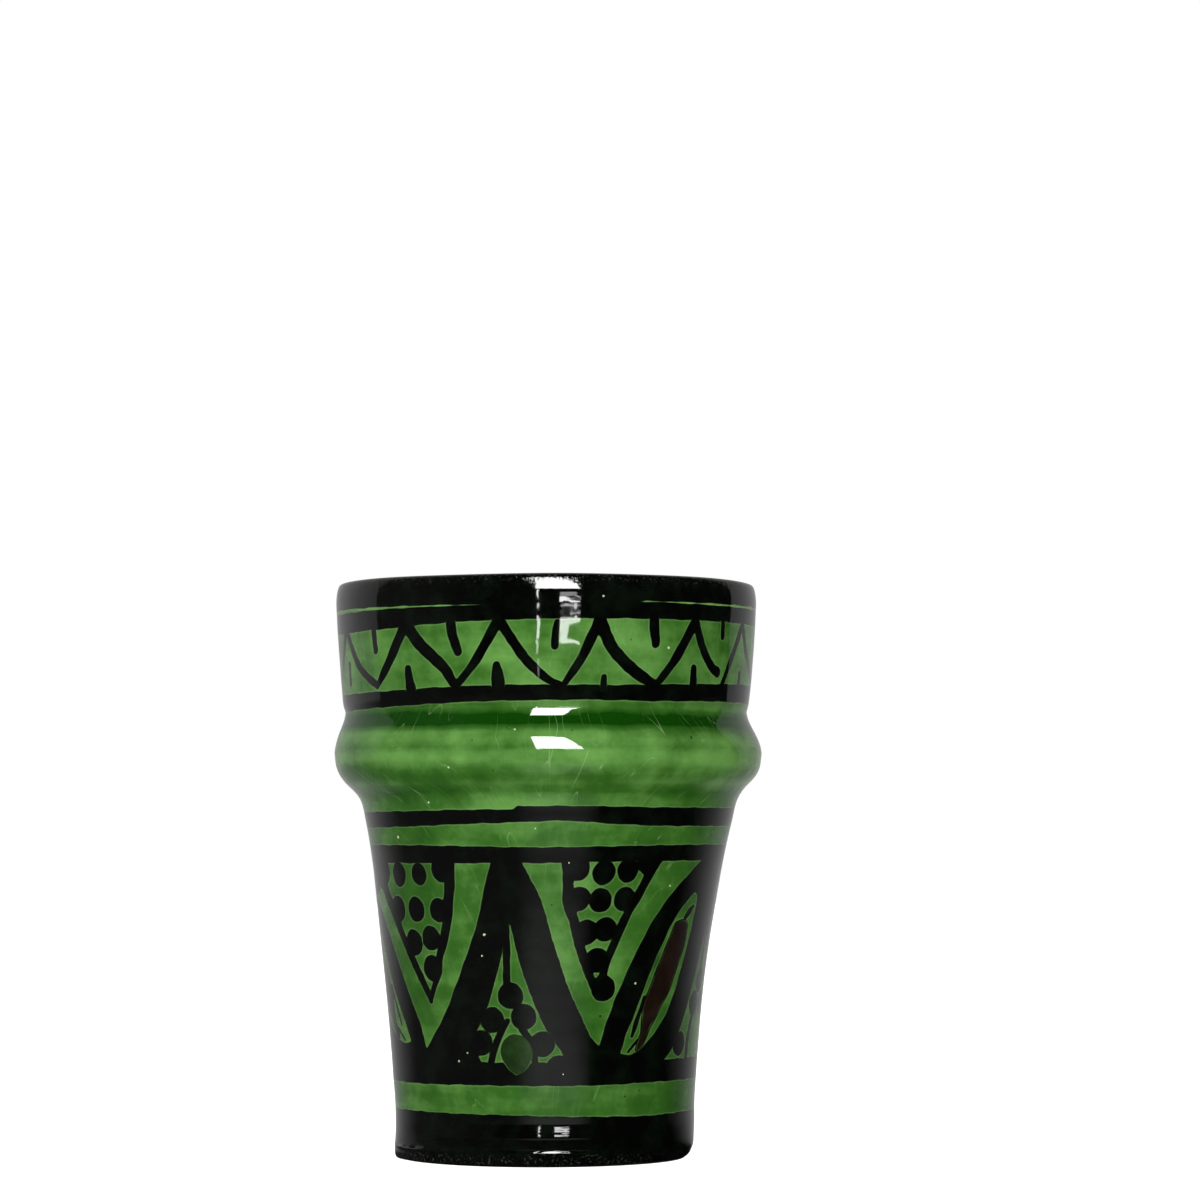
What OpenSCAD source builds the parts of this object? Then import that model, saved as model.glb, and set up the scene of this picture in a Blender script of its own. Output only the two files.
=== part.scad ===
// Beldi tea cup: a wheel-thrown earthenware beaker with a rolled bead under its collar,
// green glaze inside and out, and a black and red-brown pattern painted by hand on the glaze.
// The cup stands on z = 0 with its axis on Z. Angles count from the front (-Y) towards +X.

/* [Foot] */
// Radius of the glazed foot
foot_r = 28.4; // [26:0.1:31]
// Height of the black band round the foot
foot_band_h = 9.5; // [6:0.1:13]
// Rounding of the bare lower edge, up to where the glaze starts
foot_edge_r = 1; // [0.5:0.1:2]
// Width of the bare ring that the cup stands on
foot_ring_w = 5; // [3:0.5:9]
// Depth of the hollow inside the bare ring
foot_recess_h = 1.2; // [0.6:0.1:2.4]

/* [Skirt] */
// Height of the green stripe above the foot band
low_stripe_h = 5.6; // [3:0.1:9]
// Height of the black ring under the petals
skirt_lower_ring_h = 3.9; // [2:0.1:7]
// Height of the petal field
petal_field_h = 37.3; // [28:0.1:48]
// Height of the black ring over the petals
skirt_upper_ring_h = 3; // [1.5:0.1:6]
// Height of the green stripe under the shoulder ring
high_stripe_h = 4.4; // [2:0.1:8]
// Height of the black shoulder ring
shoulder_ring_h = 2.7; // [1:0.1:5]
// Radius of the shoulder, where the skirt ends
shoulder_r = 35.3; // [32:0.1:38]

/* [Bead] */
// Height of the bead below its widest line
bead_under_h = 10.2; // [7:0.1:14]
// Height of the bead above its widest line
bead_over_h = 7.6; // [5:0.1:11]
// Radius of the bead at its widest line
bead_r = 40.65; // [38.6:0.05:44]
// Radius of the groove over the bead
neck_r = 38.5; // [36.5:0.1:38.5]

/* [Collar] */
// Height of the bare glaze between the groove and the frieze
neck_h = 1.7; // [0.8:0.1:4]
// Height of the black ring under the frieze
frieze_lower_ring_h = 2.7; // [1:0.1:5]
// Height of the chevron frieze
frieze_h = 12.2; // [9:0.1:17]
// Height of the black ring over the frieze
frieze_upper_ring_h = 2.4; // [1:0.1:5]
// Height of the thin green line under the black lip
lip_line_h = 0.6; // [0.3:0.1:1.5]
// Height of the black coat on the lip, measured outside
lip_coat_h = 5.2; // [4:0.1:9]
// Height of the black coat on the lip, measured inside
lip_inside_h = 4.6; // [3.5:0.1:9]
// Radius of the collar below the lip
collar_r = 40.05; // [39:0.05:42]

/* [Wall] */
// Wall of the skirt, glaze included
skirt_wall_t = 4.05; // [3:0.05:6]
// Wall at the bead, glaze included
bead_wall_t = 5.4; // [4:0.1:7]
// Wall of the collar and the lip, glaze included
lip_wall_t = 3.75; // [2.6:0.05:5]
// Height of the rounded lip
lip_round_h = 1.8; // [1:0.1:3]
// Height of the floor inside, above the table
floor_h = 6; // [4:0.1:9]
// Radius of the corner between floor and wall
floor_corner_r = 7; // [3:0.1:12]
// Thickness of the glaze
glaze_t = 0.4; // [0.2:0.05:0.8]
// Thickness of the painted colour on the glaze
paint_t = 0.18; // [0.1:0.01:0.3]

/* [Brushwork] */
// Width of the straight chevron strokes
thin_stroke_w = 1.3; // [0.8:0.1:2.4]
// Width of the curved chevron strokes
wide_stroke_w = 1.9; // [1:0.1:3]
// Width of the short ticks in the frieze
tick_w = 1.4; // [0.8:0.1:2.4]
// Width of the line round each grape pendant
pendant_line_w = 1.5; // [0.8:0.1:2.5]
// Radius of the berries in the grape pendants
grape_r = 2.4; // [1.6:0.1:2.8]
// Radius of the berries on the sprigs
berry_r = 2.3; // [1.4:0.1:2.8]
// Width of the sprig stems
stem_w = 1.3; // [0.6:0.1:2]
// Width of the line round each red leaf
leaf_line_w = 0.6; // [0.3:0.1:1]
// Half width of the green drop under each sprig
drop_r = 2.7; // [1.8:0.1:3.4]

/* [Hidden] */
$fn = 48;

// Colours of clay, glaze and brushwork
clay_colour = "#b98a5e";
glaze_colour = "#4f8f38";
black_colour = "#0c110c";
red_colour = "#5a1f14";
drop_colour = "#2f5f22";

// Heights of the zones, stacked from the table to the lip
skirt_lower_z = foot_band_h + low_stripe_h;
field_z = skirt_lower_z + skirt_lower_ring_h;
skirt_upper_z = field_z + petal_field_h;
high_stripe_z = skirt_upper_z + skirt_upper_ring_h;
shoulder_ring_z = high_stripe_z + high_stripe_h;
shoulder_z = shoulder_ring_z + shoulder_ring_h;
belly_z = shoulder_z + bead_under_h;
neck_z = belly_z + bead_over_h;
frieze_lower_z = neck_z + neck_h;
frieze_z = frieze_lower_z + frieze_lower_ring_h;
frieze_upper_z = frieze_z + frieze_h;
lip_line_z = frieze_upper_z + frieze_upper_ring_h;
lip_coat_z = lip_line_z + lip_line_h;
cup_h = lip_coat_z + lip_coat_h;
lip_z = cup_h - paint_t - lip_round_h;
corner_z = floor_h + floor_corner_r;

// Radii of the clay under the glaze, and of the bare ring
foot_clay_r = foot_r - glaze_t;
ring_inner_r = foot_clay_r - foot_ring_w;
// Cuts through the paint run from well inside the wall to past the widest line of the cup
overrun = 2;
reach_r = max(foot_r, shoulder_r, bead_r, neck_r, collar_r) + overrun;
wide_start_share = 0.6;
near_start_share = 0.92;
wide_start_r = min(foot_r, shoulder_r) * wide_start_share;
near_start_r = min(foot_r, shoulder_r) * near_start_share;
frieze_start_r = min(neck_r, collar_r) * near_start_share;

// Outer surface of the glaze: keys of height, radius and slope, joined by cubic curves.
// The skirt leaves the foot almost upright and flares more and more towards the shoulder.
skirt_start_share = 0.28;
skirt_slope = (shoulder_r - foot_r) / (shoulder_z - foot_band_h);
// The bead's flanks: share of height and radius passed, and slope as a multiple of the mean one
under_shares = [0.49, 0.6];
under_steepness = 2.2;
over_shares = [0.62, 0.63];
over_steepness = 1.5;
bead_under_slope = (bead_r - shoulder_r) / bead_under_h;
bead_over_slope = (neck_r - bead_r) / bead_over_h;
collar_slope = (collar_r - neck_r) / (lip_z - neck_z);
collar_foot_share = 0.16;
skin_keys = [
    [0, foot_r, 0],
    [foot_band_h, foot_r, skirt_start_share * skirt_slope],
    [shoulder_z, shoulder_r, (2 - skirt_start_share) * skirt_slope],
    [
        shoulder_z + bead_under_h * under_shares[0],
        shoulder_r + (bead_r - shoulder_r) * under_shares[1],
        under_steepness * bead_under_slope
    ],
    [belly_z, bead_r, 0],
    [
        belly_z + bead_over_h * over_shares[0],
        bead_r + (neck_r - bead_r) * over_shares[1],
        over_steepness * bead_over_slope
    ],
    [neck_z, neck_r, 0],
    [frieze_lower_z, neck_r + (collar_r - neck_r) * collar_foot_share, collar_slope],
    [lip_z, collar_r, 0]
];

// Inner surface of the glaze from the shoulder up: the potter's finger followed the bead
hollow_keys = [
    [shoulder_z, shoulder_r - skirt_wall_t, (2 - skirt_start_share) * skirt_slope],
    [belly_z, bead_r - bead_wall_t, 0],
    [neck_z, neck_r - lip_wall_t, 0],
    [lip_z, collar_r - lip_wall_t, collar_slope]
];

// Value at height z of the cubic curve between two keys
function blend(a, b, z) =
    let (h = b[0] - a[0], t = (z - a[0]) / h)
    a[1] * (2 * t ^ 3 - 3 * t ^ 2 + 1) + a[2] * h * (t ^ 3 - 2 * t ^ 2 + t)
    + b[1] * (3 * t ^ 2 - 2 * t ^ 3) + b[2] * h * (t ^ 3 - t ^ 2);

// Value at height z of the curve through all keys
function along(keys, z, i = 0) =
    i < len(keys) - 2 && z > keys[i + 1][0] ? along(keys, z, i + 1) : blend(keys[i], keys[i + 1], z);

// Heights from a up to but not including b, in n equal steps
function rungs(a, b, n) = [for (i = [0 : n - 1]) a + (b - a) * i / n];

// Tables of height and radius that every layer shares, so neighbours meet face to face
skin = [
    for (z = concat(
        rungs(foot_edge_r, foot_band_h, 2),
        rungs(foot_band_h, shoulder_z, 14),
        rungs(shoulder_z, belly_z, 10),
        rungs(belly_z, neck_z, 9),
        rungs(neck_z, frieze_lower_z, 2),
        rungs(frieze_lower_z, lip_z, 6),
        [lip_z]
    )) [z, along(skin_keys, z)]
];
hollow = [
    for (z = concat(
        rungs(corner_z, shoulder_z, 9),
        rungs(shoulder_z, belly_z, 7),
        rungs(belly_z, neck_z, 5),
        rungs(neck_z, lip_z, 5),
        [lip_z]
    )) [z, z <= shoulder_z ? along(skin_keys, z) - skirt_wall_t : along(hollow_keys, z)]
];
function skin_r(z) = lookup(z, skin);
function hollow_r(z) = lookup(z, hollow);

// Points of a table between two heights, moved sideways by d
function between(table, z0, z1, d) = concat(
    [[lookup(z0, table) + d, z0]],
    [for (p = table) if (p[0] > z0 && p[0] < z1) [p[1] + d, p[0]]],
    [[lookup(z1, table) + d, z1]]
);
function backwards(points) = [for (i = [len(points) - 1 : -1 : 0]) points[i]];

// Arc over the lip from angle a0 to a1, for a layer that lies d outside the glaze.
// All layers turn in the same steps, so they meet face to face there too.
lip_turn = 15;
function lip_arc(d, a0, a1) =
    let (n = abs(a1 - a0) / lip_turn)
    [
        for (i = [0 : n])
            let (a = a0 + (a1 - a0) * i / n)
            [
                collar_r - lip_wall_t / 2 + (lip_wall_t / 2 + d) * cos(a),
                lip_z + (lip_round_h + d) * sin(a)
            ]
    ];

// Arc in the corner of the floor, from the wall to the floor
corner_steps = 6;
function corner_arc(d) = [
    for (i = [0 : corner_steps])
        let (a = 90 * i / corner_steps)
        [
            hollow_r(corner_z) - floor_corner_r + (floor_corner_r - d) * cos(a),
            corner_z - (floor_corner_r - d) * sin(a)
        ]
];

// Arc round the foot's bare edge, from the table up to the glaze
edge_steps = 4;
edge_arc = [
    for (i = [0 : edge_steps])
        let (a = 90 * i / edge_steps)
        [foot_clay_r - foot_edge_r + foot_edge_r * sin(a), foot_edge_r - foot_edge_r * cos(a)]
];

// Layer of paint on the outside of the cup, from z0 to z1
module paint(z0, z1) {
    rotate_extrude()
        polygon(concat(between(skin, z0, z1, paint_t), backwards(between(skin, z0, z1, 0))));
}

// A flat outline pushed outwards through the wall at an angle, starting at a radius
module through(angle, outline, start_r) {
    rotate([0, 0, angle])
        translate([0, -start_r, 0])
            rotate([90, 0, 0])
                linear_extrude(height = reach_r - start_r)
                    polygon(outline);
}

// A round dab of radius r at an angle and height
module dab(angle, z, r) {
    rotate([0, 0, angle])
        translate([0, -near_start_r, z])
            rotate([90, 0, 0])
                cylinder(r = r, h = reach_r - near_start_r);
}

// Place on the flat view of the cup: sideways from the view's middle, and up
function flat(angle, z) = [skin_r(z) * sin(angle), z];
function flat_all(points, side, z0, h) = [for (p = points) flat(side * p[0], z0 + h * p[1])];

// A soft curve through the points, with extra points between each two
curve_steps = 3;
function pull(a, b, c, d, t) =
    b + (c - a) * t / 2 + (2 * a - 5 * b + 4 * c - d) * t ^ 2 / 2 + (3 * b - a - 3 * c + d) * t ^ 3 / 2;
function curve(p) = concat(
    [
        for (i = [0 : len(p) - 2], k = [0 : curve_steps - 1])
            pull(p[max(i - 1, 0)], p[i], p[i + 1], p[min(i + 2, len(p) - 1)], k / curve_steps)
    ],
    [p[len(p) - 1]]
);

// Outline of a brush stroke along a path, w wide where it starts and w * end_share at its end
function across(p, i) =
    let (d = p[min(i + 1, len(p) - 1)] - p[max(i - 1, 0)]) [-d[1], d[0]] / norm(d);
function half_w(p, i, w, end_share) = w / 2 * (1 + (end_share - 1) * i / (len(p) - 1));
function stroke(p, w, end_share) = concat(
    [for (i = [0 : len(p) - 1]) p[i] + across(p, i) * half_w(p, i, w, end_share)],
    [for (i = [len(p) - 1 : -1 : 0]) p[i] - across(p, i) * half_w(p, i, w, end_share)]
);

// A closed outline moved outwards by d, to the left of its direction of travel
function grown(p, d) =
    [
        for (i = [0 : len(p) - 1])
            let (step = p[(i + 1) % len(p)] - p[(i + len(p) - 1) % len(p)])
            p[i] + d * [-step[1], step[0]] / norm(step)
    ];

// Frieze: the angle of each peak, placed by eye as the painter went round
peak_angles = [-70.5, -40.5, -12.8, 14, 43.6, 68.8, 96, 124, 151.5, 179, 206.5, 234, 262];
peaks = len(peak_angles);
// For each peak: where the valley to its right lies between the peaks, how far the valley's
// tick hangs down, and how far the peak's tick stands up, as shares of the frieze
frieze_shares = [
    [0.57, 0.4, 0.43], [0.56, 0.5, 0.38], [0.66, 0.42, 0.38], [0.59, 0.42, 0.18],
    [0.51, 0.24, 0.34], [0.55, 0.4, 0.3], [0.57, 0.44, 0.38], [0.55, 0.36, 0.34],
    [0.6, 0.42, 0.4], [0.56, 0.46, 0.3], [0.54, 0.38, 0.36], [0.58, 0.44, 0.4], [0.56, 0.4, 0.36]
];
// Path of a straight and of a curved stroke: share of the way from peak to valley, and of the height
straight_shares = [[-0.04, 1.06], [0.5, 0.5], [1.04, -0.06]];
curved_shares = [[-0.06, 1.06], [0.2, 0.69], [0.42, 0.43], [0.68, 0.21], [1.02, -0.04]];
stroke_end_share = 0.7;
// Ticks start inside the ring, so that the ring's edge cuts them off
tick_root_share = 0.06;
tick_end_share = 0.8;
tick_lean = 1.5;

function peak_angle(i) = peak_angles[i % peaks] + (i >= peaks ? 360 : i < 0 ? -360 : 0);
function valley_angle(i) =
    peak_angle(i) + (peak_angle(i + 1) - peak_angle(i)) * frieze_shares[i % peaks][0];

// One leg of a chevron, from a peak to a valley
module leg(peak, valley, shares, w) {
    mid = (peak + valley) / 2;
    path = [for (s = shares) flat(peak + (valley - peak) * s[0] - mid, frieze_z + frieze_h * s[1])];
    through(mid, stroke(curve(path), w, stroke_end_share), frieze_start_r);
}

// A short tick from one height to another, both as shares of the frieze
module tick(angle, from_share, to_share, lean) {
    path = [flat(0, frieze_z + frieze_h * from_share), flat(lean, frieze_z + frieze_h * to_share)];
    through(angle, stroke(path, tick_w, tick_end_share), frieze_start_r);
}

// Skirt: the pattern turns round the cup twice
repeats = 2;
repeat_angle = 360 / repeats;
// The two petals: angle of the tip, and +1 or -1 for the side that faces the flower stem
petal_angles = [20, -49.5];
petal_sides = [1, -1];
// Edges of the two petals from the top to the tip and back up: degrees from the tip, share of height
petal_inner_shares = [
    [[-29, 1.02], [-22, 0.82], [-17, 0.6], [-10, 0.33], [0, 0.09]],
    [[-31, 1.02], [-28.2, 0.79], [-20.5, 0.48], [-11, 0.23], [0, 0.07]]
];
petal_outer_shares = [
    [[0, 0.09], [6, 0.33], [14, 0.57], [22.5, 0.79], [30, 0.9], [41, 1.02]],
    [[0, 0.07], [4.5, 0.3], [11, 0.475], [18, 0.63], [25.5, 0.74], [41, 1.02]]
];
// Edges of the grape pendants inside them, in the same way
pendant_inner_shares = [
    [[-15.8, 1.02], [-14.3, 0.8], [-10.5, 0.63], [-6, 0.45], [-1, 0.31]],
    [[-17.5, 1.02], [-16, 0.73], [-12.5, 0.55], [-10, 0.42], [-4.8, 0.29]]
];
pendant_outer_shares = [
    [[-1, 0.31], [1.75, 0.44], [5, 0.6], [9.5, 0.75], [14.5, 0.88], [19.5, 1.02]],
    [[-4.8, 0.29], [-1.5, 0.37], [4.5, 0.5], [11.5, 0.65], [19.5, 0.8], [29, 1.02]]
];
// Middles of the berries in each pendant
grape_shares = [
    [
        [-10, 0.965], [-1.5, 0.946], [7, 0.965], [14, 0.99], [-10, 0.826], [-2.2, 0.823],
        [6.5, 0.823], [-6.5, 0.657], [0.5, 0.67], [-2, 0.517], [0.6, 0.38]
    ],
    [
        [-12.5, 0.965], [-3, 0.94], [8, 0.94], [19, 0.95], [-11.5, 0.76], [-0.5, 0.767],
        [10.5, 0.764], [-7.5, 0.614], [2.5, 0.595], [-6.5, 0.472]
    ]
];

// Leaves beside the petals: degrees from the leaf's middle, share of the height
leaf_angles = [45, -74.5];
leaf_sides = [1, -1];
leaf_rim_inner_shares = [
    [-16.5, 0.05], [-10.5, 0.25], [-1.5, 0.575], [4.5, 0.72], [11.5, 0.825], [15.6, 0.83]
];
leaf_rim_outer_shares = [
    [15.6, 0.83], [14.4, 0.585], [10.5, 0.405], [4.5, 0.24], [-3.5, 0.115], [-16.5, 0.05]
];
leaf_inner_shares = [[-9, 0.1], [-8, 0.19], [-3.5, 0.43], [1, 0.6], [5, 0.7], [10, 0.725]];
leaf_outer_shares = [[10, 0.725], [12.3, 0.66], [11.6, 0.55], [7.5, 0.4], [0, 0.25], [-6, 0.12], [-9, 0.1]];

// Tents under the flower stems, the first open to the front and the second to the side
tent_angles = [-14.75, 75.25];
tent_left_shares = [
    [[2.85, 0.7], [0, 0.54], [-2.75, 0.4], [-6.5, 0.25], [-10, 0.13], [-10.8, 0.03], [-9.5, -0.02]],
    [[0, 0.69], [-5, 0.54], [-8.75, 0.36], [-13, 0.22], [-17, 0.11], [-19, -0.02]]
];
tent_right_shares = [
    [[21, -0.02], [20, 0.06], [15.2, 0.17], [12, 0.27], [7.2, 0.45], [4.7, 0.585], [2.85, 0.7]],
    [[19, -0.02], [17, 0.11], [13, 0.22], [8.75, 0.36], [5, 0.54], [0, 0.69]]
];
berry_shares = [
    [[2.75, 0.343], [-5, 0.223], [7.1, 0.24], [-8.25, 0.107], [13.75, 0.107], [19.75, 0.03]],
    [[0, 0.4], [-5, 0.284], [5, 0.284], [-14.75, 0.083], [14.75, 0.083]]
];
stem_shares = [
    [
        [[1.5, 0.75], [1.55, 0.55], [1.7, 0.38]],
        [[1.75, 0.22], [-1.25, 0.15], [-3.75, 0.09], [-5.75, -0.02]],
        [[5, 0.22], [9.75, 0.115], [11.75, -0.02]]
    ],
    [
        [[0, 0.72], [0, 0.55], [0, 0.42]],
        [[-4, 0.26], [-8, 0.14], [-9.5, -0.02]],
        [[4, 0.26], [8, 0.14], [9.5, -0.02]]
    ]
];
// The green drop hangs over the lower ring: its middle, its top and its pointed end
drop_angle = -10.5;
drop_shares = [0.15, 0.055, -0.05];

function on_field(points, side = 1) = flat_all(points, side, field_z, petal_field_h);

// Do the children once for every turn of the pattern
module around() {
    for (i = [0 : repeats - 1]) rotate([0, 0, i * repeat_angle]) children();
}

module petal_cuts() {
    for (k = [0 : len(petal_angles) - 1])
        through(petal_angles[k], concat(
            curve(on_field(petal_inner_shares[k], petal_sides[k])),
            curve(on_field(petal_outer_shares[k], petal_sides[k]))
        ), wide_start_r);
}

module leaf_rim_cuts() {
    for (k = [0 : len(leaf_angles) - 1])
        through(leaf_angles[k], concat(
            curve(on_field(leaf_rim_inner_shares, leaf_sides[k])),
            curve(on_field(leaf_rim_outer_shares, leaf_sides[k]))
        ), near_start_r);
}

// The red leaf, or what a line of width rim round it would fill with it
module leaf_lens_cuts(rim = 0) {
    for (k = [0 : len(leaf_angles) - 1])
        through(leaf_angles[k], grown(concat(
            curve(on_field(leaf_inner_shares, leaf_sides[k])),
            curve(on_field(leaf_outer_shares, leaf_sides[k]))
        ), rim * leaf_sides[k]), near_start_r);
}

module tent_cuts() {
    for (k = [0 : len(tent_angles) - 1])
        through(tent_angles[k], concat(
            curve(on_field(tent_left_shares[k])),
            curve(on_field(tent_right_shares[k]))
        ), near_start_r);
}

module drop_cut() {
    through(drop_angle, [
        [0, field_z + petal_field_h * drop_shares[2]],
        for (i = [0 : 12])
            let (a = 15 * i)
            [drop_r * cos(a), field_z + petal_field_h * drop_shares[1] + drop_r * sin(a)]
    ], near_start_r);
}

module clay_body() {
    color(clay_colour)
        rotate_extrude()
            polygon(concat(
                [[0, foot_recess_h], [ring_inner_r - foot_recess_h, foot_recess_h], [ring_inner_r, 0]],
                edge_arc,
                between(skin, foot_edge_r, lip_z, -glaze_t),
                lip_arc(-glaze_t, 0, 180),
                backwards(between(hollow, corner_z, lip_z, glaze_t)),
                corner_arc(-glaze_t),
                [[0, floor_h - glaze_t]]
            ));
}

module outer_glaze() {
    color(glaze_colour)
        rotate_extrude()
            polygon(concat(
                between(skin, foot_edge_r, lip_z, 0),
                lip_arc(0, 0, 90),
                lip_arc(-glaze_t, 90, 0),
                backwards(between(skin, foot_edge_r, lip_z, -glaze_t))
            ));
}

module inner_glaze() {
    color(glaze_colour)
        rotate_extrude()
            polygon(concat(
                lip_arc(0, 90, 180),
                backwards(between(hollow, corner_z, lip_z, 0)),
                corner_arc(0),
                [[0, floor_h], [0, floor_h - glaze_t]],
                backwards(corner_arc(-glaze_t)),
                between(hollow, corner_z, lip_z, glaze_t),
                lip_arc(-glaze_t, 180, 90)
            ));
}

module lip_coat() {
    inside_z = cup_h - lip_inside_h;
    color(black_colour)
        rotate_extrude()
            polygon(concat(
                between(skin, lip_coat_z, lip_z, paint_t),
                lip_arc(paint_t, 0, 180),
                backwards(between(hollow, inside_z, lip_z, -paint_t)),
                between(hollow, inside_z, lip_z, 0),
                lip_arc(0, 180, 0),
                backwards(between(skin, lip_coat_z, lip_z, 0))
            ));
}

module frieze_upper_ring() {
    color(black_colour) paint(frieze_upper_z, lip_line_z);
}

module frieze_chevrons() {
    color(black_colour)
        intersection() {
            paint(frieze_z, frieze_upper_z);
            union() {
                for (i = [0 : peaks - 1]) {
                    leg(peak_angle(i), valley_angle(i), curved_shares, wide_stroke_w);
                    leg(peak_angle(i + 1), valley_angle(i), straight_shares, thin_stroke_w);
                }
            }
        }
}

module frieze_hanging_ticks() {
    color(black_colour)
        intersection() {
            paint(frieze_z, frieze_upper_z);
            union() {
                for (i = [0 : peaks - 1])
                    tick(valley_angle(i), 1 + tick_root_share, 1 - frieze_shares[i][1], tick_lean);
            }
        }
}

module frieze_standing_ticks() {
    color(black_colour)
        intersection() {
            paint(frieze_z, frieze_upper_z);
            union() {
                for (i = [0 : peaks - 1])
                    tick(peak_angle(i), -tick_root_share, frieze_shares[i][2], 0);
            }
        }
}

module frieze_lower_ring() {
    color(black_colour) paint(frieze_lower_z, frieze_z);
}

module shoulder_ring() {
    color(black_colour) paint(shoulder_ring_z, shoulder_z);
}

module skirt_upper_ring() {
    color(black_colour) paint(skirt_upper_z, high_stripe_z);
}

module petal_field() {
    color(black_colour)
        difference() {
            paint(field_z, skirt_upper_z);
            around() {
                petal_cuts();
                leaf_rim_cuts();
                tent_cuts();
            }
        }
}

// Pendant outline as a line inside the outline's own edge, and its berries
module grape_pendants() {
    color(black_colour)
        intersection() {
            paint(field_z, skirt_upper_z);
            around()
                for (k = [0 : len(petal_angles) - 1]) {
                    inner = curve(on_field(pendant_inner_shares[k], petal_sides[k]));
                    outer = curve(on_field(pendant_outer_shares[k], petal_sides[k]));
                    through(petal_angles[k], stroke(inner, pendant_line_w, 1), wide_start_r);
                    through(petal_angles[k], stroke(outer, pendant_line_w, 1), wide_start_r);
                    for (p = grape_shares[k])
                        dab(
                            petal_angles[k] + petal_sides[k] * p[0],
                            field_z + petal_field_h * p[1],
                            grape_r
                        );
                }
        }
}

module berry_sprigs() {
    color(black_colour)
        difference() {
            intersection() {
                paint(field_z, skirt_upper_z);
                around() tent_cuts();
                around()
                    for (k = [0 : len(tent_angles) - 1]) {
                        for (p = berry_shares[k])
                            dab(tent_angles[k] + p[0], field_z + petal_field_h * p[1], berry_r);
                        for (path = stem_shares[k])
                            through(tent_angles[k], stroke(curve(on_field(path)), stem_w, 1), near_start_r);
                    }
            }
            around() drop_cut();
        }
}

module leaf_outlines() {
    color(black_colour)
        difference() {
            intersection() {
                paint(field_z, skirt_upper_z);
                around() leaf_lens_cuts(leaf_line_w);
            }
            around() leaf_lens_cuts();
        }
}

module leaf_fills() {
    color(red_colour)
        intersection() {
            paint(field_z, skirt_upper_z);
            around() leaf_lens_cuts();
        }
}

module dew_drops() {
    color(drop_colour)
        intersection() {
            paint(skirt_lower_z, skirt_upper_z);
            around() drop_cut();
        }
}

module skirt_lower_ring() {
    color(black_colour)
        difference() {
            paint(skirt_lower_z, field_z);
            around() drop_cut();
        }
}

module foot_band() {
    color(black_colour) paint(foot_edge_r, foot_band_h);
}

clay_body();
outer_glaze();
inner_glaze();
lip_coat();
frieze_upper_ring();
frieze_chevrons();
frieze_hanging_ticks();
frieze_standing_ticks();
frieze_lower_ring();
shoulder_ring();
skirt_upper_ring();
petal_field();
grape_pendants();
berry_sprigs();
leaf_outlines();
leaf_fills();
dew_drops();
skirt_lower_ring();
foot_band();
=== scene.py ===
"""Looks of a hand-thrown tea cup with a green glaze and a painted pattern, built on its CAD frame.

Sizes are millimetres until a mesh is made, which holds metres. Angles are degrees round the cup
from the front (-Y) towards +X. A "way" is a distance in mm along the cup's section: outside it is
the height over the table, and from the lip on it goes over the crest, down the inside and in to
the middle of the floor.
"""

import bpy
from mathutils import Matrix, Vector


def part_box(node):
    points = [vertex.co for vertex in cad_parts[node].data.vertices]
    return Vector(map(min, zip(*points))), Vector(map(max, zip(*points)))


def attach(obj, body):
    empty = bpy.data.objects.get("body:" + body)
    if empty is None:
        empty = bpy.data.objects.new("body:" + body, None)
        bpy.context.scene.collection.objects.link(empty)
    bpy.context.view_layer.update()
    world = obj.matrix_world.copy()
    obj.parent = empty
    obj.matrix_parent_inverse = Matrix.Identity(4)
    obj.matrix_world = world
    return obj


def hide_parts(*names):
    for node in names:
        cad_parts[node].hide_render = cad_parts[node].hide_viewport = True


bl_info = {
    "name": "Beldi tea cup",
    "version": (1, 0, 0),
    "blender": (4, 5, 0),
    "location": "View3D > Sidebar > Tea cup",
    "description": "Throws, glazes and paints a green tea cup with a black pattern",
    "category": "Object",
}

import math

import bpy
import numpy as np

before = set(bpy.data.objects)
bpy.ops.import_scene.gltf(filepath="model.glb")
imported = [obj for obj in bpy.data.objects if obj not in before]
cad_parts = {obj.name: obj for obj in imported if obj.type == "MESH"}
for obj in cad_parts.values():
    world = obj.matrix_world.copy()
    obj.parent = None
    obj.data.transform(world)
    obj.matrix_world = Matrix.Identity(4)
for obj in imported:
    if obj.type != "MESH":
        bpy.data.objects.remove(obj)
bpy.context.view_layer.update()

MM = 0.001
TURN = 360.0
BODY = "root"

# Half of an ellipse over the lip, and the rounded edge of the foot that the glaze runs down
LIP_ROUND = 1.8
FOOT_EDGE = 1.0
FOOT_RUN = 47.0
# Inside, the wall turns into the floor on a quarter circle
CORNER = 7.0
GLAZE = 0.4
# How far inner sheets stay clear of the ones over them
TUCK = 0.02
# How much higher each later coat of colour stands than the one before it
LAYER = 0.002
# How far past its zone a ring's grid goes
MARGIN = 2.4
# A field value for places that a motif doesn't reach
FAR = 9.0


def heights(node):
    """Lowest and highest place of a CAD node, in mm."""
    low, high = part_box(node)
    return low.z / MM, high.z / MM


FOOT_TOP = heights("foot_band")[1]
LOW_RING = heights("skirt_lower_ring")
FIELD = heights("petal_field")
HIGH_RING = heights("skirt_upper_ring")
SHOULDER = heights("shoulder_ring")
FRIEZE_LOW = heights("frieze_lower_ring")
FRIEZE_HIGH = heights("frieze_upper_ring")
FRIEZE = (FRIEZE_LOW[1], FRIEZE_HIGH[0])
LIP_COAT = heights("lip_coat")
CREST = heights("outer_glaze")[1]
LIP = CREST - LIP_ROUND
FLOOR = heights("inner_glaze")[0] + GLAZE
# The black of the lip ends here on the inner wall
INSIDE_COAT = 104.4


# The cup's section

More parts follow.
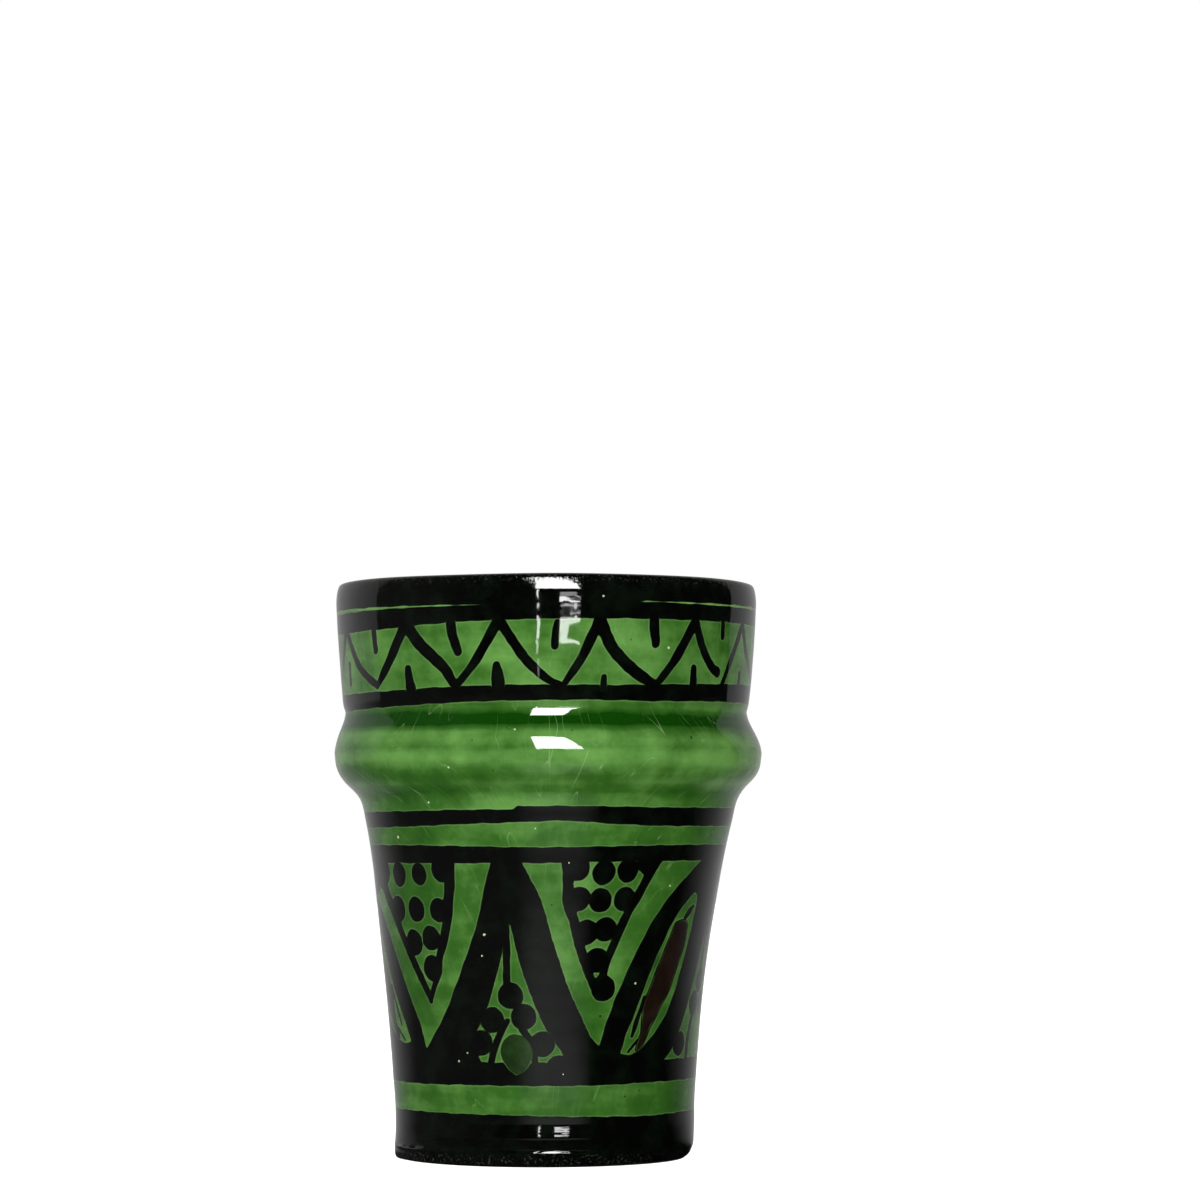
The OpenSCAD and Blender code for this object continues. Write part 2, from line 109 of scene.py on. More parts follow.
def rings(node, pick):
    """Heights of a CAD node's rings of points, and the radius there that pick chooses."""
    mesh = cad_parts[node].data
    points = np.empty(len(mesh.vertices) * 3, dtype=np.float32)
    mesh.vertices.foreach_get("co", points)
    x, y, z = points.astype(float).reshape(-1, 3).T / MM
    level = np.round(z, 2)
    radius = np.hypot(x, y)
    levels = np.unique(level)
    return levels, np.array([pick(radius[level == height]) for height in levels])


def cubic(x, knots, values):
    """A smooth line through the knots: a Hermite cubic on each span, with the slopes that central
    differences give at the knots."""
    slope = np.gradient(values, knots)
    i = np.clip(np.searchsorted(knots, x) - 1, 0, len(knots) - 2)
    span = knots[i + 1] - knots[i]
    t = (x - knots[i]) / span
    start = values[i] * (1 + 2 * t) + slope[i] * span * t
    end = values[i + 1] * (3 - 2 * t) - slope[i + 1] * span * (1 - t)
    return start * (1 - t) ** 2 + end * t ** 2


class Section:
    """The glazed section as arrays of radius, height and outward normal by way. It runs up the
    rounded foot edge and the outer wall, over half an ellipse, down the inner wall, round a quarter
    circle and in along the floor."""

    def __init__(self):
        """Joins the stretches end to end. The walls are cubics through the CAD's rings."""
        z, r = rings("outer_glaze", np.max)
        wall = (z >= FOOT_EDGE - 0.01) & (z <= LIP + 0.01)
        outer_z, outer_r = z[wall], r[wall]
        z, r = rings("inner_glaze", np.min)
        wall = (z >= FLOOR + CORNER - 0.01) & (z <= LIP + 0.01)
        inner_z, inner_r = z[wall], r[wall]

        edge = np.radians(np.linspace(-FOOT_RUN, 0, 16, endpoint=False))
        curl = FOOT_EDGE + GLAZE
        up = np.linspace(FOOT_EDGE, LIP, 1400)
        arc = np.radians(np.linspace(0, 180, 160))
        half = (outer_r[-1] - inner_r[-1]) / 2
        down = np.linspace(LIP, inner_z[0], 1200)[1:]
        bend = np.radians(np.linspace(0, 90, 90))[1:]
        floor = np.linspace(inner_r[0] - CORNER, 0, 160)[1:]
        self.radius = np.concatenate([
            outer_r[0] - curl + curl * np.cos(edge),
            cubic(up, outer_z, outer_r),
            (inner_r[-1] + half + half * np.cos(arc))[1:],
            cubic(down, inner_z, inner_r),
            inner_r[0] - CORNER + CORNER * np.cos(bend),
            floor,
        ])
        self.height = np.concatenate([
            FOOT_EDGE + curl * np.sin(edge),
            up,
            (LIP + LIP_ROUND * np.sin(arc))[1:],
            down,
            inner_z[0] - CORNER * np.sin(bend),
            np.full(len(floor), inner_z[0] - CORNER),
        ])
        length = np.concatenate([
            [0], np.cumsum(np.hypot(np.diff(self.radius), np.diff(self.height)))
        ])
        lip = len(edge) + len(up) - 1
        self.way = np.where(length < length[lip], self.height, LIP + length - length[lip])
        self.across = np.gradient(self.height, length)
        self.along = -np.gradient(self.radius, length)
        self.crest = self.way[lip + len(arc) // 2]
        self.inner_lip = self.way[lip + len(arc) - 1]
        self.end = self.way[-1]

    def at(self, way):
        """Radius, height, and the outward normal's parts along each, at a way."""
        return [
            np.interp(way, self.way, row)
            for row in (self.radius, self.height, self.across, self.along)
        ]

    def inside(self, height):
        """Way of a place on the inner wall."""
        return self.inner_lip + LIP - height


CUP = Section()


def skin_radius(height):
    """Radius of the glaze outside, at a height."""
    return np.interp(height, CUP.way, CUP.radius)


# How the thrown wall strays outward from its drawn section, read off the photograph: way, mm
STRAYS = np.array([
    (0, -0.2), (0.8, -0.2), (1.5, -0.12), (2.2, -0.04), (2.6, 0.05), (3.05, -0.03), (4.2, 0.04),
    (5.3, 0.135), (5.6, 0.125), (6.7, 0.01), (7.6, -0.085), (7.95, -0.105), (8.4, -0.1), (9.2, -0.08),
    (12, 0.08), (20, 0.24), (30, 0.31), (40, 0.33), (49, 0.3), (55, 0.17), (59, 0.14), (64, 0.2),
    (68, 0.22), (71, 0.15), (74, 0.08), (77, 0), (79.5, 0.08), (81, 0.08), (83, 0), (84, -0.08),
    (84.5, -0.17), (84.62, -0.185), (84.8, -0.16), (85.4, -0.06), (86, -0.02), (87, 0.04), (88, 0.08),
    (89, 0.105), (90, 0.12), (92, 0.13), (94, 0.138), (96, 0.142), (98, 0.145), (100, 0.14), (101, 0.15),
    (103, 0.15), (104, 0.17), (105, 0.19), (105.6, 0.19), (106, 0.17), (106.5, 0.12), (107.02, 0.055),
    (107.35, 0.03), (107.8, 0.09), (108.7, 0.36), (109.9, 0.1), (112.8, 0),
])


# Ways of the sharp ridge along the bead, and of the bulge under it
RIDGE = 76.75
BULGE = 70.8


def potter(theta, way):
    """How far the potter's hand left the wall off its true line, in mm: the strays, with the foot's
    swelling in front only, a foot edge that is rounder on the right and has a broken ledge, a sharp
    ridge along the bead, a bulge under it on the left, faint throwing rings that drift round the cup,
    slow waves three and seven times round, and deeper rings inside. Fades out at the middle of the
    floor, and the waves do at the foot."""
    turn = np.radians(theta)
    outside = way < CUP.crest
    ring = np.sin(way * 1.05 + 1.4 * np.sin(turn + 0.6)) + 0.6 * np.sin(way * 2.3 - 1.1 * np.cos(turn))
    wave = 0.05 * np.sin(3 * turn + way / 17) + 0.03 * np.sin(7 * turn - way / 9 + 1)
    depth = np.where(outside, 0.0012, 0.07)
    stray = cubic(np.clip(way, 0, STRAYS[-1, 0]), STRAYS[:, 0], STRAYS[:, 1])
    level = np.interp(way, [2.4, 3.4, 12], [0.02, 0.03, 0.08])
    apart = np.interp(np.abs((theta + 5 + TURN / 2) % TURN - TURN / 2), [24, 46], [0, 1])
    stray = stray + (level - stray) * apart * (way > 2.4) * (way < 12)
    chip = 0.5 * np.exp(-(way / 1.5) ** 2) * (0.5 + 0.5 * np.sin(turn + 0.3))
    ledge = 0.05 * np.exp(-((way - 2.65) / 0.3) ** 2) * np.sin(31 * turn) * np.sin(12 * turn + 1)
    stray = stray - chip + ledge
    off = way - RIDGE
    ridge = 0.19 * np.exp(-np.hypot(off, 0.06) / np.where(off < 0, 1.0, 2.5))
    bulge = 0.3 * np.exp(-((way - BULGE) / 1.6) ** 2) * (0.5 - 0.5 * np.sin(turn))
    radius = CUP.at(way)[0]
    calm = np.clip(radius / 9, 0, 1) * np.where(outside, np.clip((way - 7) / 8, 0, 1), 1)
    return stray + ridge + bulge + (depth * ring + wave) * calm


# The cup's axis isn't quite straight: mm up, and mm to the right
AXIS = np.array([
    (0, -0.5), (1, -0.42), (3, -0.2), (5, -0.1), (12, -0.08), (20, -0.13), (35, -0.2), (42, -0.1),
    (49, 0.13), (58, 0.45), (66, 0.65), (73, 0.5), (78.6, 0.44), (82, 0.2), (85, 0.08), (90, 0.12),
    (109, 0.15),
])


def lean(height):
    """How far the axis stands to the right at a height, in mm."""
    return cubic(np.clip(height, 0, AXIS[-1, 0]), AXIS[:, 0], AXIS[:, 1])


def on_cup(theta, way, lift):
    """Points on the cup in mm: the section at a way, moved along its normal by lift and the potter's
    error, and turned by the angle theta about the leaning axis."""
    radius, height, across, along = CUP.at(way)
    push = lift + potter(theta, way)
    r = radius + across * push
    z = height + along * push
    turn = np.radians(theta)
    return np.stack([r * np.sin(turn) + lean(z), -r * np.cos(turn), z], -1)


def skin_normal(theta, way):
    """Outward direction of the skin: the cross product of its steps round the cup and up."""
    step = 0.02
    around = on_cup(theta + step, way, 0) - on_cup(theta - step, way, 0)
    up = on_cup(theta, way + step, 0) - on_cup(theta, way - step, 0)
    normal = np.cross(around, up)
    return normal / np.linalg.norm(normal, axis=-1, keepdims=True)


# How deep the glaze lies by way, from 0 where it runs thin over the bead to 1 where it pools, with painted
# light on the bead and painted shade under it and in the groove above it mixed in
POOLS_AND_SHADING = np.array([
    (0, 0.6), (11, 0.5), (16, 0.48), (30, 0.46), (50, 0.56), (57, 0.58), (60.5, 0.56), (63, 0.52),
    (66, 0.42), (67.4, 0.42), (69.3, 0.6), (70.3, 0.46), (71, 0.32), (72, 0.48), (73.2, 0.42),
    (74.3, 0.24), (75.4, 0.12), (76.3, 0.12), (77.3, 0.3), (78.6, 0.16), (80, 0.24), (81, 0.68),
    (81.8, 1.2), (82.8, 1.15), (83.8, 0.76), (84.6, 0.44), (86, 0.42), (88.6, 0.32), (92, 0.34),
    (96, 0.3), (100, 0.36), (103, 0.36), (103.2, 0), (104.6, 0), (105, 0.4), (109, 0.5), (113, 0.42),
    (150, 0.4), (190, 0.5), (205, 0.85), (218, 1), (235, 0.9),
])
# Painted shade of the sides: how much darker the glaze is drawn on the right than on the left, by way
SIDE_SHADING = np.array([
    (0, 0.1), (18, 0.1), (30, 0), (66, 0.03), (69, 0.04), (71, -0.05), (73, -0.18), (75.5, -0.1),
    (78, -0.12), (79, 0), (80, 0.14), (81, 0.08), (82, 0), (83.5, -0.14), (85, -0.14), (88, 0),
])


def pool(theta, way):
    """Depth of the glaze with its painted shade and light, read off the tables. It is drawn lighter in front,
    from the petals to the neck, as a painted reflection of the table's haze.
    """
    turn = np.radians(theta)
    # Painted reflection: the glaze is drawn lighter in front, where the table's haze is mirrored
    front = np.exp((np.cos(turn) - 1) * 8) * np.interp(way, [30, 42, 66, 70], [0, 0.16, 0.16, 0])
    tilt = np.interp(way, SIDE_SHADING[:, 0], SIDE_SHADING[:, 1])
    return np.interp(way, POOLS_AND_SHADING[:, 0], POOLS_AND_SHADING[:, 1]) + tilt * np.sin(turn) - front


def crazing(theta, way):
    """Places in which the crackle is drawn, in metres. Angles shift with the height, ring by ring, so
    that the cracks lean outward on both sides of the front and inward in the groove, and heights are
    squeezed, so that the cracks run long."""
    turn = np.radians(theta)
    shift = np.interp(
        way, [0, 17, 17.1, 57.8, 57.9, 65, 65.1, 79, 87, 87.1, 109],
        [-0.3, 0.3, -0.55, 0.55, -0.18, 0.18, -0.35, 0.33, 0.2, -0.1, 0.1],
    )
    u = turn - shift * np.sin(turn)
    radius = 36.0
    squeeze = 8.0
    place = np.stack([radius * np.sin(u), -radius * np.cos(u), way / squeeze], -1)
    return place * MM


# Fields: functions of angle and way that give the distance in mm to the edge of a painted shape,
# negative inside it

def rolled_out(theta, way, centre):
    """Places on the skin rolled out flat: mm sideways from the angle centre, and height."""
    turn = (theta - centre + TURN / 2) % TURN - TURN / 2
    return np.stack([np.radians(turn) * skin_radius(way), way], -1)


def softened(points, steps=5):
    """A Catmull-Rom curve through rows of numbers, steps points to each span."""
    p = np.array(points, dtype=float)
    if len(p) < 3:
        return p
    p = np.concatenate([[2 * p[0] - p[1]], p, [2 * p[-1] - p[-2]]])
    a, b, c, d = (p[k:len(p) - 3 + k, None] for k in range(4))
    t = (np.arange(steps) / steps)[None, :, None]
    curve = b + (c - a) * t / 2 + (2 * a - 5 * b + 4 * c - d) * t ** 2 / 2
    curve = curve + (3 * b - a - 3 * c + d) * t ** 3 / 2
    return np.concatenate([curve.reshape(-1, p.shape[1]), p[-2:-1]])


def to_path(points, path):
    """Distance from each point to each straight piece of a path, and the share of the piece passed
    at its nearest place."""
    start = path[:-1, :2]
    step = np.diff(path[:, :2], axis=0)
    offset = points[:, None, :] - start
    share = np.clip((offset * step).sum(-1) / (step ** 2).sum(-1), 0, 1)
    gap = offset - share[..., None] * step
    return np.hypot(gap[..., 0], gap[..., 1]), share


def stamped(line, shape):
    """Field of one motif drawn round the middle angle of its own line, and FAR away from it."""
    centre = (line[:, 0].max() + line[:, 0].min()) / 2
    reach = (line[:, 0].max() - line[:, 0].min()) / 2 + 9
    flat = rolled_out(line[:, 0], line[:, 1], centre)

    def field(theta, way):
        """The motif's own shape near its middle, and FAR elsewhere."""
        turn = (theta - centre + TURN / 2) % TURN - TURN / 2
        near = np.abs(turn) < reach
        result = np.full(np.shape(theta), FAR)
        result[near] = shape(rolled_out(theta[near], way[near], centre), flat)
        return result

    return field


def area(*edges):
    """Field of an area inside edges that are each softened and joined end to end: distance to the
    outline, negative where a level ray crosses it an odd number of times."""
    line = np.concatenate([softened(edge) for edge in edges])

    def shape(points, flat):
        """Distance to the closed outline, signed by how often a level ray crosses it."""
        ring = np.concatenate([flat, flat[:1]])
        ring = ring[np.concatenate([[True], np.hypot(*np.diff(ring, axis=0).T) > 1e-6])]
        gap = to_path(points, ring)[0].min(-1)
        (x0, z0), (x1, z1) = ring[:-1].T, ring[1:].T
        x, z = points[:, :1], points[:, 1:]
        rise = np.where(z1 == z0, 1, z1 - z0)
        crossed = ((z0 > z) != (z1 > z)) & (x < x0 + (z - z0) * (x1 - x0) / rise)
        return np.where(crossed.sum(-1) % 2 == 1, -gap, gap)

    return stamped(line, shape)


def stroke(*points):
    """Field of a brush stroke along a softened path of (degrees, mm up, mm wide): distance to the
    path less half the width there."""
    line = softened(points)

    def shape(places, flat):
        """Distance to the path less half the width, which runs evenly along each piece."""
        gap, share = to_path(places, flat)
        width = line[:-1, 2] + share * np.diff(line[:, 2])
        return (gap - width / 2).min(-1)

    return stamped(line, shape)


def dots(places):
    """Field of round dabs, each a place and a radius, a little taller than wide."""
    spots = np.array(places, dtype=float)

    def shape(points, flat):
        """Distance to the nearest middle, squeezed sideways, less that dab's radius."""
        gap = points[:, None, :] - flat[:, :2]
        stretch = np.hypot(gap[..., 0] * 1.02, gap[..., 1] * 0.98)
        return (stretch - spots[:, 2]).min(-1)

    return stamped(spots, shape)


def band(low, high):
    """Field of a ring between two edges, each a function of the angle."""
    return lambda theta, way: np.maximum(low(theta) - way, way - high(theta))


def edge(level, *drift):
    """An edge that drifts off its level round the cup: pairs of degrees and mm, joined in lines."""
    table = np.array(drift or [(0, 0)], dtype=float)
    return lambda theta: level + np.interp(theta, table[:, 0], table[:, 1], period=TURN)


def joined(*fields):
    """Field of all shapes together."""
    return lambda theta, way: np.minimum.reduce([field(theta, way) for field in fields])


def without(field, hole):
    """Field of a shape less a hole."""
    return lambda theta, way: np.maximum(field(theta, way), -hole(theta, way))


def within(field, bound, margin=0.0):
    """Field of a shape cut off a margin outside its bound."""
    return lambda theta, way: np.maximum(field(theta, way), bound(theta, way) - margin)


def twice(field):
    """Field of a shape and its copy on the far side of the cup."""
    return lambda theta, way: np.minimum(field(theta, way), field(theta + TURN / 2, way))


# The painted pattern, read off the rolled-out cup: (degrees, mm up), and a stroke's width

READ_FIELD = (19.0, 56.3)
READ_LIP_COAT = 103.8
# Degrees by which the pattern closes up at the cup's sides
CLOSING = 0.9


def skirt(points):
    """Rows of (degrees, mm up, ...) of the skirt's pattern, with the heights moved to the frame's
    petal field. Angles were read off a plain cup, and close up towards the sides, where the real skin
    stands out."""
    rows = np.array(points, dtype=float)
    side = np.sin(np.radians(rows[:, 0]))
    rows[:, 0] -= CLOSING * side * np.abs(side)
    low, high = READ_FIELD
    rows[:, 1] = FIELD[0] + (rows[:, 1] - low) * (FIELD[1] - FIELD[0]) / (high - low)
    return rows


def skirt_area(parts):
    """Field of a closed shape of the skirt's pattern."""
    return area(*[skirt(part) for part in parts])


PETALS = (
    (
        (
            (-9.3, 57.5), (-5, 52.9), (-2, 49.6), (3, 41.3), (7.5, 34.2), (13.5, 27.5), (16.5, 24.2),
            (20, 22.2),
        ),
        (
            (20, 22.2), (23.5, 27.9), (28.5, 34.2), (34, 40.4), (39, 45.4), (46, 50.4), (55, 54.6),
            (62.5, 57.5),
        ),
    ),
    (
        (
            (-17.9, 57.5), (-18.5, 56), (-21, 50.7), (-23, 45.7), (-27, 40), (-32, 34.3), (-37, 29.3),
            (-42, 25.7), (-49, 21.6),
        ),
        (
            (-49.5, 21.7), (-51.7, 25.9), (-54.6, 28.7), (-58.1, 32.1), (-61.7, 35.9), (-65.3, 39.6),
            (-69, 42.9), (-72.6, 45.5), (-76.2, 47.5), (-83.5, 51.3), (-91, 54.8), (-97, 57.5),
        ),
    ),
)
PENDANTS = (
    (
        (5.9, 57.5, 2.2), (6.9, 52.3, 2), (7.3, 48.6, 2.1), (9.3, 45.6, 1.8), (11.2, 42.2, 1.8),
        (13.2, 38.8, 1.7), (15.6, 35.5, 1.6), (18.6, 32.3, 1.6),
    ),
    (
        (38.5, 57.5, 2.4), (35.3, 54.2, 2), (32.5, 51, 1.8), (29.1, 47.6, 1.7), (26.3, 44.2, 1.7),
        (24.1, 41, 1.6), (21.9, 38, 1.5), (20.4, 34.5, 1.5),
    ),
    (
        (-33, 57.5, 2.4), (-33.6, 51.7, 2.3), (-34.8, 46.3, 2.1), (-36.6, 42.3, 1.9), (-39.2, 38.6, 1.7),
        (-40.4, 35.5, 1.5), (-42.8, 33, 1.2), (-44.9, 30.7, 1),
    ),
    (
        (-44.9, 30.4, 1), (-46.5, 32.2, 1.4), (-50, 35.4, 1.7), (-54.6, 39.4, 1.8), (-58.1, 42.5, 1.9),
        (-62, 46, 2.3), (-66, 49, 2.7), (-70, 51.9, 2.9), (-76, 53.4, 2.9), (-84, 56, 2.9),
    ),
)
# Dabs: degrees, mm up, mm of radius
GRAPES = (
    (
        (9.5, 55.2, 2.4), (18.4, 54.3, 2.25), (26.9, 54.7, 2.2), (34, 56.2, 2.3), (10.7, 49.5, 2.2),
        (18, 49.2, 2.2), (26.6, 49.4, 2.2), (13.9, 43.3, 2.3), (20.6, 43.9, 2.2), (18.2, 38.2, 2.25),
        (21, 33, 2.4),
    ),
    (
        (-57.2, 53.9, 2.3), (-46.4, 54, 2.05), (-36.6, 54.8, 2.3), (-67.7, 54.4, 2.4),
        (-59.4, 47.5, 2.4), (-49, 47.4, 2.3), (-38.4, 47.3, 2.2), (-51.5, 41.2, 2.4), (-42.7, 42.1, 2.25),
        (-42.9, 36.5, 2.4), (-74.5, 55.2, 3.1), (-80, 54, 4),
    ),
)
# The red leaf leans right: its rim, the red lens, and the ends of its line. Its twin leans left
LEAF_RIM = (
    (
        (28.5, 20.9), (31, 24.5), (33.2, 27), (35.7, 30), (38, 33), (40.3, 36), (43, 39.2), (46, 42.5),
        (49.3, 45.6), (51.3, 47), (54.3, 48.7), (57.3, 50), (59.3, 50.5),
    ),
    (
        (59.3, 50.5), (60.7, 49.9), (61.2, 48.2), (61, 46), (60.3, 43.5), (59, 40), (57, 36.5),
        (55, 33.2), (52.3, 30), (49.3, 27.5), (46, 25.5), (42.3, 23.6), (38.8, 22.1), (36, 21.2),
        (32.7, 20.5), (28.5, 20.9),
    ),
)
LEAF_LENS = (
    (
        (35.6, 21.5), (36.3, 23), (37.7, 24.5), (37.9, 27), (38.2, 29.5), (40, 32), (42.4, 35), (44.8, 38),
        (47.4, 41.2), (50.2, 44.7),
    ),
    ((50.2, 44.7), (53, 45.2), (56, 45.2), (57.4, 44.3)),
    (
        (57.4, 44.3), (57.3, 41.7), (55.6, 38.5), (53.4, 35.9), (51.6, 33.3), (49.4, 31.4), (46.8, 29.5),
        (44.3, 27.5), (41.7, 25.6), (40, 24), (38.4, 22.5), (37, 21.4), (35.6, 21.5),
    ),
)
LEAF_TIPS = (
    ((55.4, 45.9, 1), (57.3, 46.9, 1.4), (59.2, 47.9, 0.7)),
    ((38.2, 31.2, 0.6), (36.6, 28.6, 0.8), (34.8, 26.1, 1), (33.4, 24, 0.6)),
    ((36, 23.2, 0.6), (34, 22.2, 0.6), (32, 21.1, 0.4)),
)
LEAF_LINE = 0.3
# Degrees at the foot of the leaf and of its twin, and how much flatter and higher the twin lies
LEAF_FOOT = 28.5
TWIN_FOOT = -58.9
TWIN_STRETCH = 1.35
TWIN_RISE = 1.7
TENTS = (
    (
        (
            (-11.8, 44.9), (-14.4, 39.8), (-16, 36.8), (-18, 33.3), (-20.6, 29.4), (-22.2, 27.4),
            (-24.8, 25.4), (-25.4, 22.5), (-26.6, 20.3), (-25.5, 18.2),
        ),
        ((-25.5, 18.2), (-1, 18.2)),
        ((-1, 18.2), (2.2, 18.8), (2.4, 20.7)),
        (
            (7, 20.7), (5, 22.2), (3, 23.6), (1.5, 24.8), (0.4, 25.7), (-2, 28.4), (-4.4, 31.3),
            (-6.8, 34.8), (-8.8, 38.5), (-10.7, 42.4), (-11.8, 44.9),
        ),
    ),
    (
        (
            (75.25, 44.7), (71.5, 38.8), (67.5, 33.2), (63.4, 28.3), (59.6, 24.8), (57, 22.8),
            (54.4, 21.1), (52.4, 20.1), (50.2, 19.2), (50.2, 18.2),
        ),
        ((50.2, 18.2), (94.1, 18.2)),
        (
            (94.1, 18.2), (93.9, 20), (91.9, 24), (87.9, 28), (83.2, 33.2), (79, 38.8), (75.25, 44.7),
        ),
    ),
)
SPRIG_DOTS = (
    (
        (-12, 31.7, 2.4), (-19, 27.2, 2.3), (-7.4, 27.8, 2.35), (-23.6, 22.9, 2.3), (-0.8, 22.8, 2.3),
        (-28.4, 18.8, 2.3), (5, 18.4, 2.3),
    ),
    ((75.25, 33.9, 2.3), (70.4, 29.6, 2.3), (80.1, 29.6, 2.3), (59.8, 22.2, 2.2), (90, 22.1, 2.3)),
)
SPRIG_STEMS = (
    ((-13.2, 44.6, 1.3), (-13.1, 39, 1.4), (-13.1, 33.6, 1.3)),
    (
        (-13.2, 27, 0.9), (-14.6, 26, 1.2), (-16.2, 24.5, 1.3), (-17.6, 23, 1.2), (-19, 21, 1.3),
        (-20.1, 18.6, 1.4),
    ),
    ((-8, 25.4, 1.2), (-5, 23.3, 1.2), (-3.3, 18.6, 1.2)),
    ((75.25, 45.6, 1.2), (75.2, 40, 1.3), (75.25, 34, 1.2)),
    ((71.2, 28.6, 1.2), (67.4, 24.4, 1.3), (65.8, 18.4, 1.4)),
    ((79.3, 28.6, 1.2), (83.1, 24.4, 1.3), (84.7, 18.4, 1.4)),
)
DROP = (
    (
        (-10.5, 17.1), (-13.3, 18.2), (-15.3, 19.8), (-16.1, 21.3), (-15.1, 23.2), (-13, 24.3),
        (-10.8, 24.6),
    ),
    (
        (-10.8, 24.6), (-8, 24.2), (-5.6, 23), (-4.4, 21), (-5.4, 19.2), (-7.6, 17.8), (-10.5, 17.1),
    ),
)

# The frieze: strokes as (degrees, share of the height, mm wide), from the top of each down
STRAIGHT = (
    ((-70.5, 0.93, 1.6), (-77, 0.35, 1.5), (-83, 0, 1.1)),
    ((-40.3, 0.99, 2.3), (-47.4, 0.4, 2), (-53.5, 0.02, 1.2)),
    ((-12.5, 1, 2), (-18.8, 0.4, 1.7), (-25.2, -0.02, 1.2)),
    ((14.4, 1.02, 2.1), (9.8, 0.45, 1.7), (5, 0.02, 1.2)),
    ((43.5, 1, 2), (37.4, 0.45, 1.9), (31, 0, 1.2)),
    ((67.2, 1, 1.5), (60.7, 0.42, 1.5), (56.3, 0, 1.1)),
)
CURVED = (
    (
        (-70.8, 0.95, 1.7), (-66.7, 0.63, 1.7), (-63.4, 0.385, 1.7), (-59.6, 0.22, 1.6),
        (-54.7, 0.07, 1.6), (-53.8, 0.05, 1.4),
    ),
    (
        (-40.6, 0.95, 2.6), (-36.7, 0.66, 2.5), (-32, 0.43, 2.3), (-28.4, 0.25, 2.1), (-26.3, 0.06, 1.8),
        (-25.2, -0.02, 1.4),
    ),
    (
        (-12.6, 0.97, 2), (-9, 0.664, 1.8), (-6.1, 0.426, 1.8), (-3.3, 0.254, 1.7), (0.4, 0.08, 1.4),
        (3.8, 0, 1.1),
    ),
    (
        (14.2, 0.95, 2.4), (17.2, 0.6, 2.3), (20.6, 0.385, 2.3), (24.4, 0.21, 2.3), (28.8, 0.06, 2),
        (31, 0.01, 1.5),
    ),
    ((43.5, 1, 1.9), (46.4, 0.63, 1.8), (49, 0.426, 1.8), (51.7, 0.287, 1.8), (53.9, 0.24, 2)),
    ((67.6, 0.98, 1.6), (71.2, 0.63, 1.6), (75.3, 0.4, 1.5), (80, 0.2, 1.3), (84.5, 0.03, 1.2)),
)
HANGING = (
    ((-53.8, 1.04, 1.4), (-53.6, 0.8, 1.5), (-53.2, 0.57, 1.5)),
    ((-26.3, 1.04, 2.1), (-25.7, 0.75, 1.9), (-24.3, 0.5, 1.7)),
    ((2.8, 0.93, 1.1), (2.3, 0.75, 1.4), (2.2, 0.58, 1.3)),
    ((29.6, 1.04, 2), (29.9, 0.8, 2), (30.3, 0.63, 1.7)),
    ((55.3, 1.04, 1.4), (55.5, 0.78, 1.2)),
)
STANDING = (
    ((-69.7, 0.08, 1.1), (-69.5, 0.38, 1.2)),
    ((-39.8, -0.06, 2.6), (-40.3, 0.1, 2), (-40.6, 0.26, 1.5)),
    ((-13.1, -0.04, 2.5), (-13.1, 0.12, 2.3), (-13.4, 0.3, 1.4)),
    ((15.6, -0.04, 1.3), (15.6, 0.12, 1.2)),
    ((43.9, -0.04, 2), (43.8, 0.28, 1.4)),
    ((67.4, 0.04, 1.2), (67.5, 0.24, 1.2)),
)
# The unseen back goes on in the same hand: peaks, and where the valley after each lies
BACK_PEAKS = (96, 124, 151.5, 179, 206.5, 234, 262, 289.5)
BACK_VALLEYS = (0.57, 0.55, 0.6, 0.56, 0.54, 0.58, 0.56)
FIRST_VALLEY = 84.0
BACK_STRAIGHT = ((-0.04, 1.06, 2), (0.5, 0.45, 1.8), (1.04, -0.06, 1.2))
BACK_CURVED = ((-0.06, 1.06, 2.4), (0.2, 0.69, 2.2), (0.42, 0.43, 2), (0.68, 0.21, 1.9), (1.02, -0.04, 1.4))


def frieze_stroke(points):
    """A stroke whose heights are shares of the frieze."""
    rows = np.array(points, dtype=float)
    rows[:, 1] = FRIEZE[0] + rows[:, 1] * (FRIEZE[1] - FRIEZE[0])
    return stroke(*rows)


def back_stroke(peak, valley, shape):
    """A leg of the zigzag: shares of the way from its peak to its valley, and of the height."""
    return frieze_stroke([(peak + (valley - peak) * side, up, width) for side, up, width in shape])


def back_frieze():
    """Strokes of the unseen back: legs of the zigzag, hanging ticks and standing ticks."""
    legs, hanging, standing = [], [], []
    valley = FIRST_VALLEY
    for k, share in enumerate(BACK_VALLEYS):
        peak = BACK_PEAKS[k]
        legs.append(back_stroke(peak, valley, BACK_STRAIGHT))
        valley = peak + (BACK_PEAKS[k + 1] - peak) * share
        legs.append(back_stroke(peak, valley, BACK_CURVED))
        reach = 0.6 + 0.05 * math.sin(3 * k)
        hanging.append(frieze_stroke([(valley, 1.04, 1.6), (valley + 1.2, reach, 1.3)]))
        standing.append(frieze_stroke([(peak, -0.05, 1.7), (peak + 0.3, 0.95 - reach, 1.3)]))
    return legs, hanging, standing


